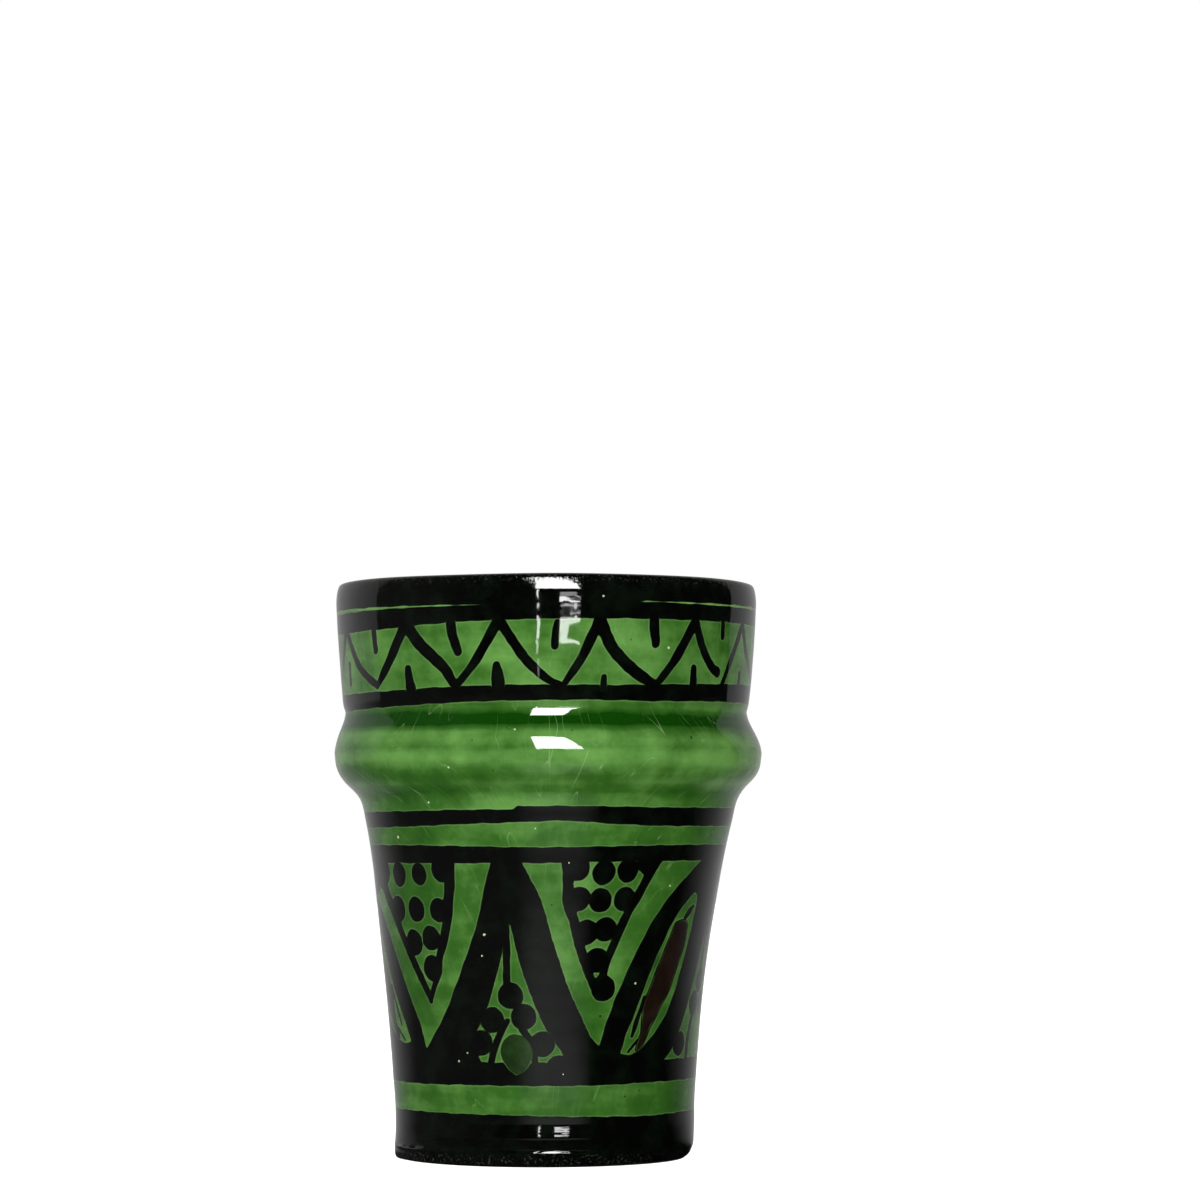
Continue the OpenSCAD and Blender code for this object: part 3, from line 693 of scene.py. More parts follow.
# Pinholes and specks in the glaze: degrees, mm up, mm across, and 0 for pale or 1 for dark
PINHOLES = (
    (34.5, 95.6, 0.56, 0), (15, 104.8, 0.44, 0), (-20.8, 42.9, 0.56, 0), (-21.8, 39, 0.4, 0),
    (33.6, 33.8, 0.48, 0), (6.7, 17.2, 0.28, 0), (6.7, 56.1, 0.32, 0), (-54.7, 60.8, 0.64, 0),
    (44.2, 51.8, 0.4, 0), (-27, 73.6, 0.4, 0), (-38.4, 67.3, 0.44, 0), (-8.6, 80.4, 0.4, 0),
    (-4.1, 62.4, 0.32, 0), (-33, 19.4, 0.4, 0), (-29.2, 21, 0.36, 0), (120, 94, 0.48, 0),
    (171, 43, 0.48, 0), (214, 88, 0.4, 0), (250, 70, 0.56, 0), (144, 60, 0.4, 0),
    (1.8, 48.4, 0.36, 1), (20.1, 27.9, 0.48, 1), (-10.2, 80.8, 0.44, 1), (41, 79.1, 0.56, 1),
    (-20, 78.4, 0.32, 1), (-14.6, 73, 0.32, 1), (31, 12.9, 0.4, 1), (37.5, 13.9, 0.36, 1),
    (200, 66.9, 0.48, 1), (110, 30, 0.4, 1),
)


# Meshes

def finish_piece(name, points, faces, material, slot, nodes, flat=None, **fields):
    """Puts points in mm and lists of faces into a mesh, with a value for each point under each
    field's name, hangs the piece on the cup's body and hides any CAD nodes that it replaces."""
    mesh = bpy.data.meshes.new(name)
    mesh.from_pydata((points * MM).tolist(), [], [face for group in faces for face in group.tolist()])
    smooth = np.ones(len(mesh.polygons), dtype=bool)
    if flat is not None:
        smooth[flat] = False
    mesh.polygons.foreach_set("use_smooth", smooth)
    for field, values in fields.items():
        vector = np.ndim(values) == 2
        layer = mesh.attributes.new(field, "FLOAT_VECTOR" if vector else "FLOAT", "POINT")
        numbers = np.ravel(values).astype(np.float32)
        layer.data.foreach_set("vector" if vector else "value", numbers)
    mesh.materials.append(material)
    mesh.update()
    piece = bpy.data.objects.new(name, mesh)
    bpy.context.scene.collection.objects.link(piece)
    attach(piece, BODY)
    if nodes:
        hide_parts(*nodes)


def lathe_faces(rows, columns, closed):
    """Quads between rows of a grid that wraps round the cup. A closed one also joins its last row
    to its first. Otherwise the first and last rows are a single point each, joined by triangles."""
    number = np.arange(rows * columns).reshape(rows, columns)
    if not closed:
        number = number[1:-1] - (columns - 1)
    below = number if closed else number[:-1]
    above = np.roll(number, -1, 0) if closed else number[1:]
    right, far = np.roll(below, -1, 1), np.roll(above, -1, 1)
    quads = np.stack([below, right, far, above], -1).reshape(-1, 4)
    if closed:
        return [quads]
    first, last = number[0], number[-1]
    tip = last[-1] + 1
    start = np.stack([np.roll(first, -1), first, np.zeros_like(first)], -1)
    end = np.stack([last, np.roll(last, -1), np.full_like(last, tip)], -1)
    return [quads, start, end]


def lathe_points(grid, closed):
    """The points of a lathe grid, with one point for each row that is a pole."""
    if closed:
        return grid.reshape(-1, grid.shape[-1])
    return np.concatenate([grid[:1, 0], grid[1:-1].reshape(-1, grid.shape[-1]), grid[-1:, 0]])


def ways(*stops):
    """Ways between stops, each stop given as (way, mm to the next point)."""
    parts = [
        np.linspace(start, stop, max(2, round(abs(stop - start) / step)), endpoint=False)
        for (start, step), (stop, _) in zip(stops, stops[1:])
    ]
    return np.concatenate(parts + [[stops[-1][0]]])


COLUMNS = 320


def round_grid(way, lift):
    """Grid of points all round the cup at each way, lifted off the skin, with the glaze depth and its painted
    shade and light as a fourth number and the crackle's place as three more."""
    theta = np.arange(COLUMNS) * TURN / COLUMNS
    t, w = np.meshgrid(theta, way)
    return np.concatenate([on_cup(t, w, lift), pool(t, w)[..., None], crazing(t, w)], -1)


def fill_corners(keep):
    """Fills a cell wherever two kept cells touch at a corner only."""
    for _ in range(20):
        below, above = keep[:-1], keep[1:]
        below_left, above_left = np.roll(below, 1, 1), np.roll(above, 1, 1)
        rising = below_left & above & ~below & ~above_left
        falling = below & above_left & ~below_left & ~above
        if not (rising | falling).any():
            return keep
        keep[:-1] |= rising
        keep[1:] |= falling
    return keep


def brush_wander(theta, way):
    """Small waves of a hand-held brush, in mm: three sines that close round the cup."""
    turn = np.radians(theta)
    slow = 0.5 * np.sin(31 * turn + 0.9 * way) + 0.3 * np.sin(-53 * turn + 1.7 * way + 1)
    return slow + 0.2 * np.sin(97 * turn - 2.9 * way)


def brushed(name, field, span, node, material, slot, rise=0, step=0.34, wander=None, rows=None):
    """A closed film of colour on the cup, from the field of its shape. The shape's distance field
    is laid on a grid of angles and ways. Cells under the halo's width are kept, grid points on the
    border slide along the field's slope to the halo's edge, and every point is lifted by a profile
    of the field: full in the middle of a stroke, low at its edge, and under the glaze at the halo's
    edge. A second sheet of the same points, sunk into the glaze, closes the film. The field is kept
    as the attribute ink, and the cup's normal as skin, since colour under the gloss has no rim to
    mirror. Rows are a step apart over the span, or at the ways given."""
    brush = bpy.context.scene.cup_brush
    halo, film = brush.halo / MM, brush.film / MM + rise * LAYER
    amount = brush.wander / MM if wander is None else wander

    def ink(theta, way):
        """The shape's field with the brush's waves added."""
        return field(theta, way) + amount * brush_wander(theta, way)

    middle = skin_radius(np.mean(span))
    columns = int(2 * math.pi * middle / step)
    way = rows
    if rows is None:
        way = np.linspace(span[0], span[1], int((span[1] - span[0]) / step) + 2)
    t, w = np.meshgrid(np.arange(columns) * TURN / columns - TURN / 2, way)
    f = ink(t, w)
    pair = (f[:-1] + f[1:]) / 4
    keep = pair + np.roll(pair, -1, 1) < halo
    keep[0] = keep[-1] = False
    keep = fill_corners(keep)

    none = np.zeros((1, columns), dtype=bool)
    below, above = np.concatenate([none, keep]), np.concatenate([keep, none])
    around = [below, above, np.roll(below, 1, 1), np.roll(above, 1, 1)]
    used = np.logical_or.reduce(around)
    border = used & ~np.logical_and.reduce(around)

    tb, wb = t[border], w[border]
    degrees = np.degrees(1 / skin_radius(wb))
    probe = 0.05
    for _ in range(3):
        level = ink(tb, wb)
        side = (ink(tb + probe * degrees, wb) - level) / probe
        up = (ink(tb, wb + probe) - level) / probe
        move = (halo - level) / np.maximum(side ** 2 + up ** 2, 0.3)
        tb = tb + move * side * degrees
        wb = wb + move * up
    limit = 0.6 * step
    t[border] += np.clip(tb - t[border], -limit * degrees, limit * degrees)
    limit = 0.6 * np.repeat(np.gradient(way)[:, None], columns, 1)[border]
    w[border] = np.clip(w[border] + np.clip(wb - w[border], -limit, limit), way[0], way[-1])
    f[border] = np.minimum(ink(t[border], w[border]), halo)

    sink = brush.sink / MM
    lift = np.interp(f[used], [-0.3, 0, 0.18, halo], [film, 0.4 * film, 0.0015, -sink])
    top = on_cup(t[used], w[used], lift)
    under = on_cup(t[used], w[used], -3 * sink)
    count = len(top)
    number = np.cumsum(used).reshape(used.shape) - 1
    r, c = np.nonzero(keep)
    right = (c + 1) % columns
    corners = [number[r, c], number[r, right], number[r + 1, right], number[r + 1, c]]
    quads = np.stack(corners, -1)
    sides = (
        keep[r - 1, c], keep[r, right], keep[np.minimum(r + 1, len(keep) - 1), c], keep[r, c - 1]
    )
    walls = []
    for k, neighbour in enumerate(sides):
        a, b = corners[k][~neighbour], corners[(k + 1) % 4][~neighbour]
        walls.append(np.stack([b, a, a + count, b + count], -1))
    walls = np.concatenate(walls)
    faces = [quads, quads[:, ::-1] + count, walls]
    flat = np.arange(2 * len(quads), 2 * len(quads) + len(walls))
    ink_values = np.concatenate([f[used], f[used]])
    # Glaze depth with its painted shade and light, for the glaze colour at a stroke's halo
    depth = np.tile(pool(t[used], w[used]), 2)
    crust = np.tile(crusted(w[used]), 2)
    skin = np.tile(skin_normal(t[used], w[used]), (2, 1))
    craze = np.tile(crazing(t[used], w[used]), (2, 1))
    finish_piece(
        name, np.concatenate([top, under]), faces, material, slot, [node], flat, ink=ink_values,
        pool=depth, crust=crust, skin=skin, craze=craze,
    )


def crusted(way):
    """How dry and blistered the black is, which also sets where pale grains and painted glints speckle it: on
    the crest of the lip and at the foot's edge.
    """
    crest = CUP.crest
    lip = np.interp(way, [106, crest - 2.6, crest - 1.7, crest, CUP.inner_lip], [0, 0.12, 0.6, 1, 0.3])
    foot = np.interp(way, [0.6, 2, 2.6], [0.8, 0.6, 0])
    return np.where(way > FOOT_TOP, lip, foot)


# Materials

def linear(text):
    """Linear red, green and blue of an sRGB hex colour."""
    values = np.array([int(text[k:k + 2], 16) for k in (1, 3, 5)]) / 255
    return tuple(np.where(values <= 0.04045, values / 12.92, ((values + 0.055) / 1.055) ** 2.4).tolist())


def add(tree, kind, inputs=None, **settings):
    """Adds a node with its settings, and sets or links its inputs by name or number."""
    made = tree.nodes.new("ShaderNode" + kind)
    for key, value in settings.items():
        setattr(made, key, value)
    for key, value in (inputs or {}).items():
        if isinstance(value, bpy.types.NodeSocket):
            tree.links.new(value, made.inputs[key])
        else:
            made.inputs[key].default_value = value
    return made


def begin(name):
    """A new material's emptied node tree."""
    material = bpy.data.materials.new(name)
    material.use_nodes = True
    material.node_tree.nodes.clear()
    return material, material.node_tree


def end(tree, shader):
    """Links a shader to the surface."""
    add(tree, "OutputMaterial", {"Surface": shader})


def rgba(colour):
    """A colour property as four numbers."""
    return (*colour, 1)


def glaze_colour(tree):
    """Colour of the green glaze. Glaze depth, with painted light over the bead and in front and painted shade
    under the bead and in the groove, comes from an attribute, with clouds about 9 mm across and level flow
    lines about 2 mm high. It goes from thin over base to deep, crossed by a fine pale crackle, with dark iron
    specks and pale pinpricks."""
    shades = bpy.context.scene.cup_colours
    place = add(tree, "TexCoord").outputs["Object"]
    # Glaze depth with painted shade under the bead and in the groove and painted light over the bead and in
    # front
    depth = add(tree, "Attribute", attribute_name="pool").outputs["Fac"]
    clouds = add(tree, "TexNoise", {"Vector": place, "Scale": 1 / (9 * MM), "Detail": 7, "Roughness": 0.6})
    level = add(tree, "Mapping", {"Vector": place, "Scale": (1, 1, 6)})
    lines = add(tree, "TexNoise", {"Vector": level.outputs[0], "Scale": 1 / (14 * MM), "Detail": 3})
    cloudy = add(tree, "Math", {0: clouds.outputs["Fac"], 1: 1.3, 2: -0.64}, operation="MULTIPLY_ADD")
    flow = add(tree, "Math", {0: lines.outputs["Fac"], 1: 0.4, 2: -0.2}, operation="MULTIPLY_ADD")
    uneven = add(tree, "Math", {0: cloudy.outputs[0], 1: flow.outputs[0]}, operation="ADD")
    total = add(tree, "Math", {0: depth, 1: uneven.outputs[0]}, operation="ADD").outputs[0]
    to_base = add(tree, "MapRange", {"Value": total, "From Min": 0.0, "From Max": 0.5})
    to_deep = add(tree, "MapRange", {"Value": total, "From Min": 0.5, "From Max": 1.0})
    base = add(tree, "Mix", {
        0: to_base.outputs[0], 6: rgba(shades.glaze_thin), 7: rgba(shades.glaze),
    }, data_type="RGBA")
    green = add(tree, "Mix", {
        0: to_deep.outputs[0], 6: base.outputs[2], 7: rgba(shades.glaze_deep),
    }, data_type="RGBA")
    craze = add(tree, "Attribute", attribute_name="craze").outputs["Vector"]
    cracks = add(tree, "TexNoise", {"Vector": craze, "Scale": 1 / (2.1 * MM), "Detail": 0.4})
    off_line = add(tree, "Math", {0: cracks.outputs["Fac"], 1: 0.5}, operation="SUBTRACT")
    near_line = add(tree, "Math", {0: off_line.outputs[0]}, operation="ABSOLUTE")
    thread = add(tree, "MapRange", {
        "Value": near_line.outputs[0], "From Min": 0.0005, "From Max": 0.006, "To Min": 1, "To Max": 0,
    })
    height = add(tree, "SeparateXYZ", {0: place}).outputs[2]
    lower = add(tree, "MapRange", {
        "Value": height, "From Min": 56 * MM, "From Max": 66 * MM, "To Min": 0.45, "To Max": 1,
    })
    upper = add(tree, "MapRange", {
        "Value": height, "From Min": 78 * MM, "From Max": 86 * MM, "To Min": 1, "To Max": 0.4,
    })
    zone = add(tree, "Math", {0: lower.outputs[0], 1: upper.outputs[0]}, operation="MULTIPLY")
    patch = add(tree, "TexNoise", {"Vector": place, "Scale": 1 / (5 * MM), "Detail": 2})
    shown = add(tree, "MapRange", {
        "Value": patch.outputs["Fac"], "From Min": 0.4, "From Max": 0.62, "To Min": 0.03, "To Max": 0.33,
    })
    faint = add(tree, "Math", {0: thread.outputs[0], 1: shown.outputs[0]}, operation="MULTIPLY")
    crackle = add(tree, "Math", {0: faint.outputs[0], 1: zone.outputs[0]}, operation="MULTIPLY")
    crazed = add(tree, "Mix", {
        0: crackle.outputs[0], 6: green.outputs[2], 7: rgba(shades.crackle),
    }, data_type="RGBA")
    specks = add(tree, "TexVoronoi", {"Vector": place, "Scale": 1 / (5.5 * MM)})
    pick = add(tree, "SeparateColor", {0: specks.outputs["Color"]})
    dark = add(tree, "MapRange", {
        "Value": specks.outputs["Distance"], "From Min": 0.02, "From Max": 0.055, "To Min": 0.7, "To Max": 0,
    })
    few = add(tree, "Math", {0: pick.outputs[0], 1: 0.72}, operation="GREATER_THAN")
    dark_few = add(tree, "Math", {0: dark.outputs[0], 1: few.outputs[0]}, operation="MULTIPLY")
    specked = add(tree, "Mix", {
        0: dark_few.outputs[0], 6: crazed.outputs[2], 7: rgba(shades.glaze_deep),
    }, data_type="RGBA")
    pale_few = add(tree, "Math", {0: pick.outputs[1], 1: 0.9}, operation="GREATER_THAN")
    pale = add(tree, "Math", {0: dark.outputs[0], 1: pale_few.outputs[0]}, operation="MULTIPLY")
    done = add(tree, "Mix", {
        0: pale.outputs[0], 6: specked.outputs[2], 7: rgba(shades.crackle),
    }, data_type="RGBA")
    return done.outputs[2]


def glassy_bump(tree, crust=False):
    """Normal of a fired glaze: soft orange peel about 2.6 mm across and a hundredth of a millimetre
    high. Brushed colours follow the skin attribute, and fine blisters roughen them where the crust
    attribute is set."""
    place = add(tree, "TexCoord").outputs["Object"]
    peel = add(tree, "TexNoise", {"Vector": place, "Scale": 1 / (2.6 * MM), "Detail": 1})
    smooth = add(tree, "Bump", {"Height": peel.outputs["Fac"], "Distance": 0.01 * MM, "Strength": 1})
    if not crust:
        return smooth.outputs[0]
    skin = add(tree, "Attribute", attribute_name="skin").outputs["Vector"]
    tree.links.new(skin, smooth.inputs["Normal"])
    dry = add(tree, "Attribute", attribute_name="crust").outputs["Fac"]
    blisters = add(tree, "TexNoise", {"Vector": place, "Scale": 1 / (0.7 * MM), "Detail": 3})
    rough = add(tree, "Bump", {
        "Height": blisters.outputs["Fac"], "Distance": 0.14 * MM, "Strength": dry,
        "Normal": smooth.outputs[0],
    })
    return rough.outputs[0]


def copper_green_glaze():
    """Copper-green lead glaze over a pale slip, fired glossy: a clear green film whose depth, with painted
    shade and light mixed in, makes it lighter or darker, with sharp reflections."""
    material, tree = begin("copper_green_glaze")
    shader = add(tree, "BsdfPrincipled", {
        "Base Color": glaze_colour(tree), "Roughness": 0.035, "IOR": 1.56, "Normal": glassy_bump(tree),
    })
    end(tree, shader.outputs[0])
    return material


def fired_colour(name, thick, thin, rough):
    """Colour brushed under the gloss. Ink fades from the brushed colour to glaze within a fifth of
    a millimetre of the stroke's edge, with a paler fringe where the glaze crept back. Streaks about
    5 mm long let the thin shade through."""
    material, tree = begin(name)
    place = add(tree, "TexCoord").outputs["Object"]
    ink = add(tree, "Attribute", attribute_name="ink").outputs["Fac"]
    streaks = add(tree, "TexNoise", {"Vector": place, "Scale": 1 / (4.5 * MM), "Detail": 5, "Roughness": 0.6})
    thinner = add(tree, "MapRange", {
        "Value": streaks.outputs["Fac"], "From Min": 0.45, "From Max": 0.75,
    })
    body = add(tree, "Mix", {
        0: thinner.outputs[0], 6: rgba(thick), 7: rgba(thin),
    }, data_type="RGBA")
    dry = add(tree, "Attribute", attribute_name="crust").outputs["Fac"]
    # Pale specks where the crust attribute is set: dry ash grains and painted glints of the blisters
    glint_and_dust_noise = add(tree, "TexNoise", {"Vector": place, "Scale": 1 / (0.5 * MM), "Detail": 2})
    grains = add(tree, "MapRange", {"Value": glint_and_dust_noise.outputs["Fac"], "From Min": 0.56, "From Max": 0.72})
    dust_and_glint = add(tree, "Math", {0: grains.outputs[0], 1: dry}, operation="MULTIPLY")
    with_ash_and_glint = add(tree, "Mix", {
        0: dust_and_glint.outputs[0], 6: body.outputs[2], 7: rgba(bpy.context.scene.cup_colours.ash),
    }, data_type="RGBA")
    fade = add(tree, "MapRange", {
        "Value": ink, "From Min": -0.05, "From Max": 0.13,
    }, interpolation_type="SMOOTHSTEP")
    fringe = add(tree, "MapRange", {
        "Value": ink, "From Min": 0.31, "From Max": 0.16, "To Min": 0, "To Max": 0.13,
    })
    beside = add(tree, "Mix", {
        0: fringe.outputs[0], 6: glaze_colour(tree), 7: rgba(bpy.context.scene.cup_colours.crackle),
    }, data_type="RGBA")
    colour = add(tree, "Mix", {
        0: fade.outputs[0], 6: with_ash_and_glint.outputs[2], 7: beside.outputs[2],
    }, data_type="RGBA")
    sweeps = add(tree, "Mapping", {"Vector": place, "Scale": (1, 1, 0.18)})
    smears = add(tree, "TexNoise", {"Vector": sweeps.outputs[0], "Scale": 1 / (1.5 * MM), "Detail": 3})
    matt = add(tree, "MapRange", {
        "Value": smears.outputs["Fac"], "From Min": 0.35, "From Max": 0.7, "To Min": rough,
        "To Max": rough + 0.03,
    })
    shader = add(tree, "BsdfPrincipled", {
        "Base Color": colour.outputs[2], "Roughness": matt.outputs[0], "IOR": 1.56,
        "Normal": glassy_bump(tree, crust=True),
    })
    end(tree, shader.outputs[0])
    return material


def manganese_black():
    """Manganese and iron black, brushed on and fired under gloss: almost pure black, greenish where
    the brush ran dry."""
    shades = bpy.context.scene.cup_colours
    return fired_colour("manganese_black", shades.black, shades.black_thin, 0.03)


def iron_red():
    """Iron-rich red slip under the glaze: dark brick brown, streaky."""
    shades = bpy.context.scene.cup_colours
    return fired_colour("iron_red", shades.red, shades.red_thin, 0.03)


def copper_drop():
    """A second dab of copper glaze over the ring: a dark see-through green."""
    shades = bpy.context.scene.cup_colours
    return fired_colour("copper_drop", shades.drop, shades.drop_thin, 0.03)


def earthenware():
    """Bare fired earthenware, cut off the wheel with a wire: matt buff pink with sandy grit about
    0.4 mm across and darker smudges of glaze dust. The black that ran off the foot stains its edge."""
    shades = bpy.context.scene.cup_colours
    material, tree = begin("earthenware")
    place = add(tree, "TexCoord").outputs["Object"]
    clouds = add(tree, "TexNoise", {"Vector": place, "Scale": 1 / (7 * MM), "Detail": 5})
    grit = add(tree, "TexNoise", {"Vector": place, "Scale": 1 / (0.45 * MM), "Detail": 2})
    body = add(tree, "Mix", {
        0: clouds.outputs["Fac"], 6: rgba(shades.clay), 7: rgba(shades.clay_dark),
    }, data_type="RGBA")
    sandy = add(tree, "MapRange", {
        "Value": grit.outputs["Fac"], "From Min": 0.55, "From Max": 0.8, "To Min": 0, "To Max": 0.45,
    })
    colour = add(tree, "Mix", {
        0: sandy.outputs[0], 6: body.outputs[2], 7: rgba(shades.clay_light),
    }, data_type="RGBA")
    flat = add(tree, "VectorMath", {0: place, 1: (1, 1, 0)}, operation="MULTIPLY")
    away = add(tree, "VectorMath", {0: flat.outputs[0]}, operation="LENGTH")
    ragged = add(tree, "Math", {
        0: clouds.outputs["Fac"], 1: 1.6 * MM, 2: away.outputs["Value"],
    }, operation="MULTIPLY_ADD")
    edge_r = (skin_radius(FOOT_EDGE) - GLAZE - FOOT_EDGE) * MM
    stain = add(tree, "MapRange", {
        "Value": ragged.outputs[0], "From Min": edge_r - 0.9 * MM, "From Max": edge_r + 0.2 * MM,
    })
    low = add(tree, "MapRange", {
        "Value": add(tree, "SeparateXYZ", {0: place}).outputs[2], "From Min": 3 * MM, "From Max": 2 * MM,
    })
    edge_only = add(tree, "Math", {0: stain.outputs[0], 1: low.outputs[0]}, operation="MULTIPLY")
    stained = add(tree, "Mix", {
        0: edge_only.outputs[0], 6: colour.outputs[2], 7: rgba(shades.black_thin),
    }, data_type="RGBA")
    bump = add(tree, "Bump", {"Height": grit.outputs["Fac"], "Distance": 0.12 * MM, "Strength": 0.8})
    shader = add(tree, "BsdfPrincipled", {
        "Base Color": stained.outputs[2], "Roughness": 0.9, "Normal": bump.outputs[0],
    })
    end(tree, shader.outputs[0])
    return material


def pinhole():
    """A burst bubble in the glaze: a cream spot where pale slip shows, or a dark one where an iron
    speck melted, as the tone attribute says."""
    material, tree = begin("pinhole")
    shades = bpy.context.scene.cup_colours
    tone = add(tree, "Attribute", attribute_name="tone").outputs["Fac"]
    place = add(tree, "TexCoord").outputs["Object"]
    cloud = add(tree, "TexNoise", {"Vector": place, "Scale": 1 / (0.6 * MM)})
    pale = add(tree, "Mix", {
        0: cloud.outputs["Fac"], 6: rgba(shades.slip), 7: rgba(shades.crackle),
    }, data_type="RGBA")
    colour = add(tree, "Mix", {
        0: tone, 6: pale.outputs[2], 7: rgba(shades.glaze_deep),
    }, data_type="RGBA")
    shader = add(tree, "BsdfPrincipled", {"Base Color": colour.outputs[2], "Roughness": 0.15})
    end(tree, shader.outputs[0])
    return material


def once(recipe):
    """The material of a recipe, mixed the first time it is asked for."""
    return bpy.data.materials.get(recipe.__name__) or recipe()


# Settings

class CupBrush(bpy.types.PropertyGroup):
    """Sizes of the coats of colour."""
    film: bpy.props.FloatProperty(
        name="Film", description="Height of a brushed colour over the glaze",
        default=0.009 * MM, precision=6, unit="LENGTH",
    )
    halo: bpy.props.FloatProperty(
        name="Halo", description="Width of the glaze that heaps up round a stroke",
        default=0.35 * MM, precision=5, unit="LENGTH",
    )
    sink: bpy.props.FloatProperty(
        name="Sink", description="How far a stroke's rim lies under the glaze",
        default=0.003 * MM, precision=6, unit="LENGTH",
    )
    wander: bpy.props.FloatProperty(
        name="Wander", description="How far the brush wanders off its line",
        default=0.1 * MM, precision=5, unit="LENGTH",
    )


class CupColours(bpy.types.PropertyGroup):
    """Colours of clay, glaze and brushwork."""
    clay: bpy.props.FloatVectorProperty(
        name="Clay", description="Fired clay", subtype="COLOR", default=linear("#b98a64"))
    clay_dark: bpy.props.FloatVectorProperty(
        name="Clay smudge", description="Smudges on the clay", subtype="COLOR", default=linear("#8a6248"))
    clay_light: bpy.props.FloatVectorProperty(
        name="Clay grit", description="Sand in the clay", subtype="COLOR", default=linear("#d6b490"))
    slip: bpy.props.FloatVectorProperty(
        name="Slip", description="Pale slip under the glaze", subtype="COLOR", default=linear("#c9caa6"))
    # Light green of thin glaze over the bead, partly painted light
    glaze_thin: bpy.props.FloatVectorProperty(
        name="Thin glaze", description="Glaze where it runs thin", subtype="COLOR",
        default=linear("#629347"))
    glaze: bpy.props.FloatVectorProperty(
        name="Glaze", description="Glaze on the wall", subtype="COLOR", default=linear("#33601f"))
    # Dark green of pooled glaze, partly painted shade in the groove and under the bead; also the dark of iron
    # specks
    glaze_deep: bpy.props.FloatVectorProperty(
        name="Deep glaze", description="Glaze where it pools", subtype="COLOR", default=linear("#0c3a03"))
    crackle: bpy.props.FloatVectorProperty(
        name="Crackle", description="Fine cracks in the glaze", subtype="COLOR",
        default=linear("#a9c98c"))
    black: bpy.props.FloatVectorProperty(
        name="Black", description="Brushed black", subtype="COLOR", default=linear("#020302"))
    black_thin: bpy.props.FloatVectorProperty(
        name="Thin black", description="Black where the brush ran dry", subtype="COLOR",
        default=linear("#091109"))
    # Pale grains on the dry crust, partly real ash and partly painted glints of its blisters
    ash: bpy.props.FloatVectorProperty(
        name="Ash", description="Pale grains on the dry edges of the black", subtype="COLOR",
        default=linear("#3f4039"))
    red: bpy.props.FloatVectorProperty(
        name="Red", description="Red slip of the leaves", subtype="COLOR", default=linear("#180f0a"))
    red_thin: bpy.props.FloatVectorProperty(
        name="Thin red", description="Red slip where it is thin", subtype="COLOR",
        default=linear("#261a13"))
    drop: bpy.props.FloatVectorProperty(
        name="Drop", description="Green dab over the ring", subtype="COLOR", default=linear("#15290d"))
    drop_thin: bpy.props.FloatVectorProperty(
        name="Thin drop", description="Green dab where it is thin", subtype="COLOR",
        default=linear("#253e18"))


class CupStudio(bpy.types.PropertyGroup):
    """Camera and light."""
    distance: bpy.props.FloatProperty(
        name="Distance", description="From the cup's axis to the lens", default=0.8167, unit="LENGTH")
    height: bpy.props.FloatProperty(
        name="Height", description="Of the lens over the table", default=0.06125, unit="LENGTH")
    pitch: bpy.props.FloatProperty(
        name="Pitch", description="Camera's tilt up", default=math.radians(3.15), subtype="ANGLE")
    yaw: bpy.props.FloatProperty(
        name="Yaw", description="Camera's turn to the right", default=math.radians(0.73), subtype="ANGLE")
    lens: bpy.props.FloatProperty(
        name="Lens", description="Focal length on a 36 mm wide sensor", default=127.89, unit="CAMERA")
    fill: bpy.props.FloatProperty(
        name="Fill", description="Even light from all round", default=0.24)
    key: bpy.props.FloatProperty(
        name="Key", description="Watts of the soft key light", default=11.0, unit="POWER")
    glare: bpy.props.FloatProperty(
        name="Glare", description="Strength of the panels mirrored in the glaze", default=14.0)


# Operators

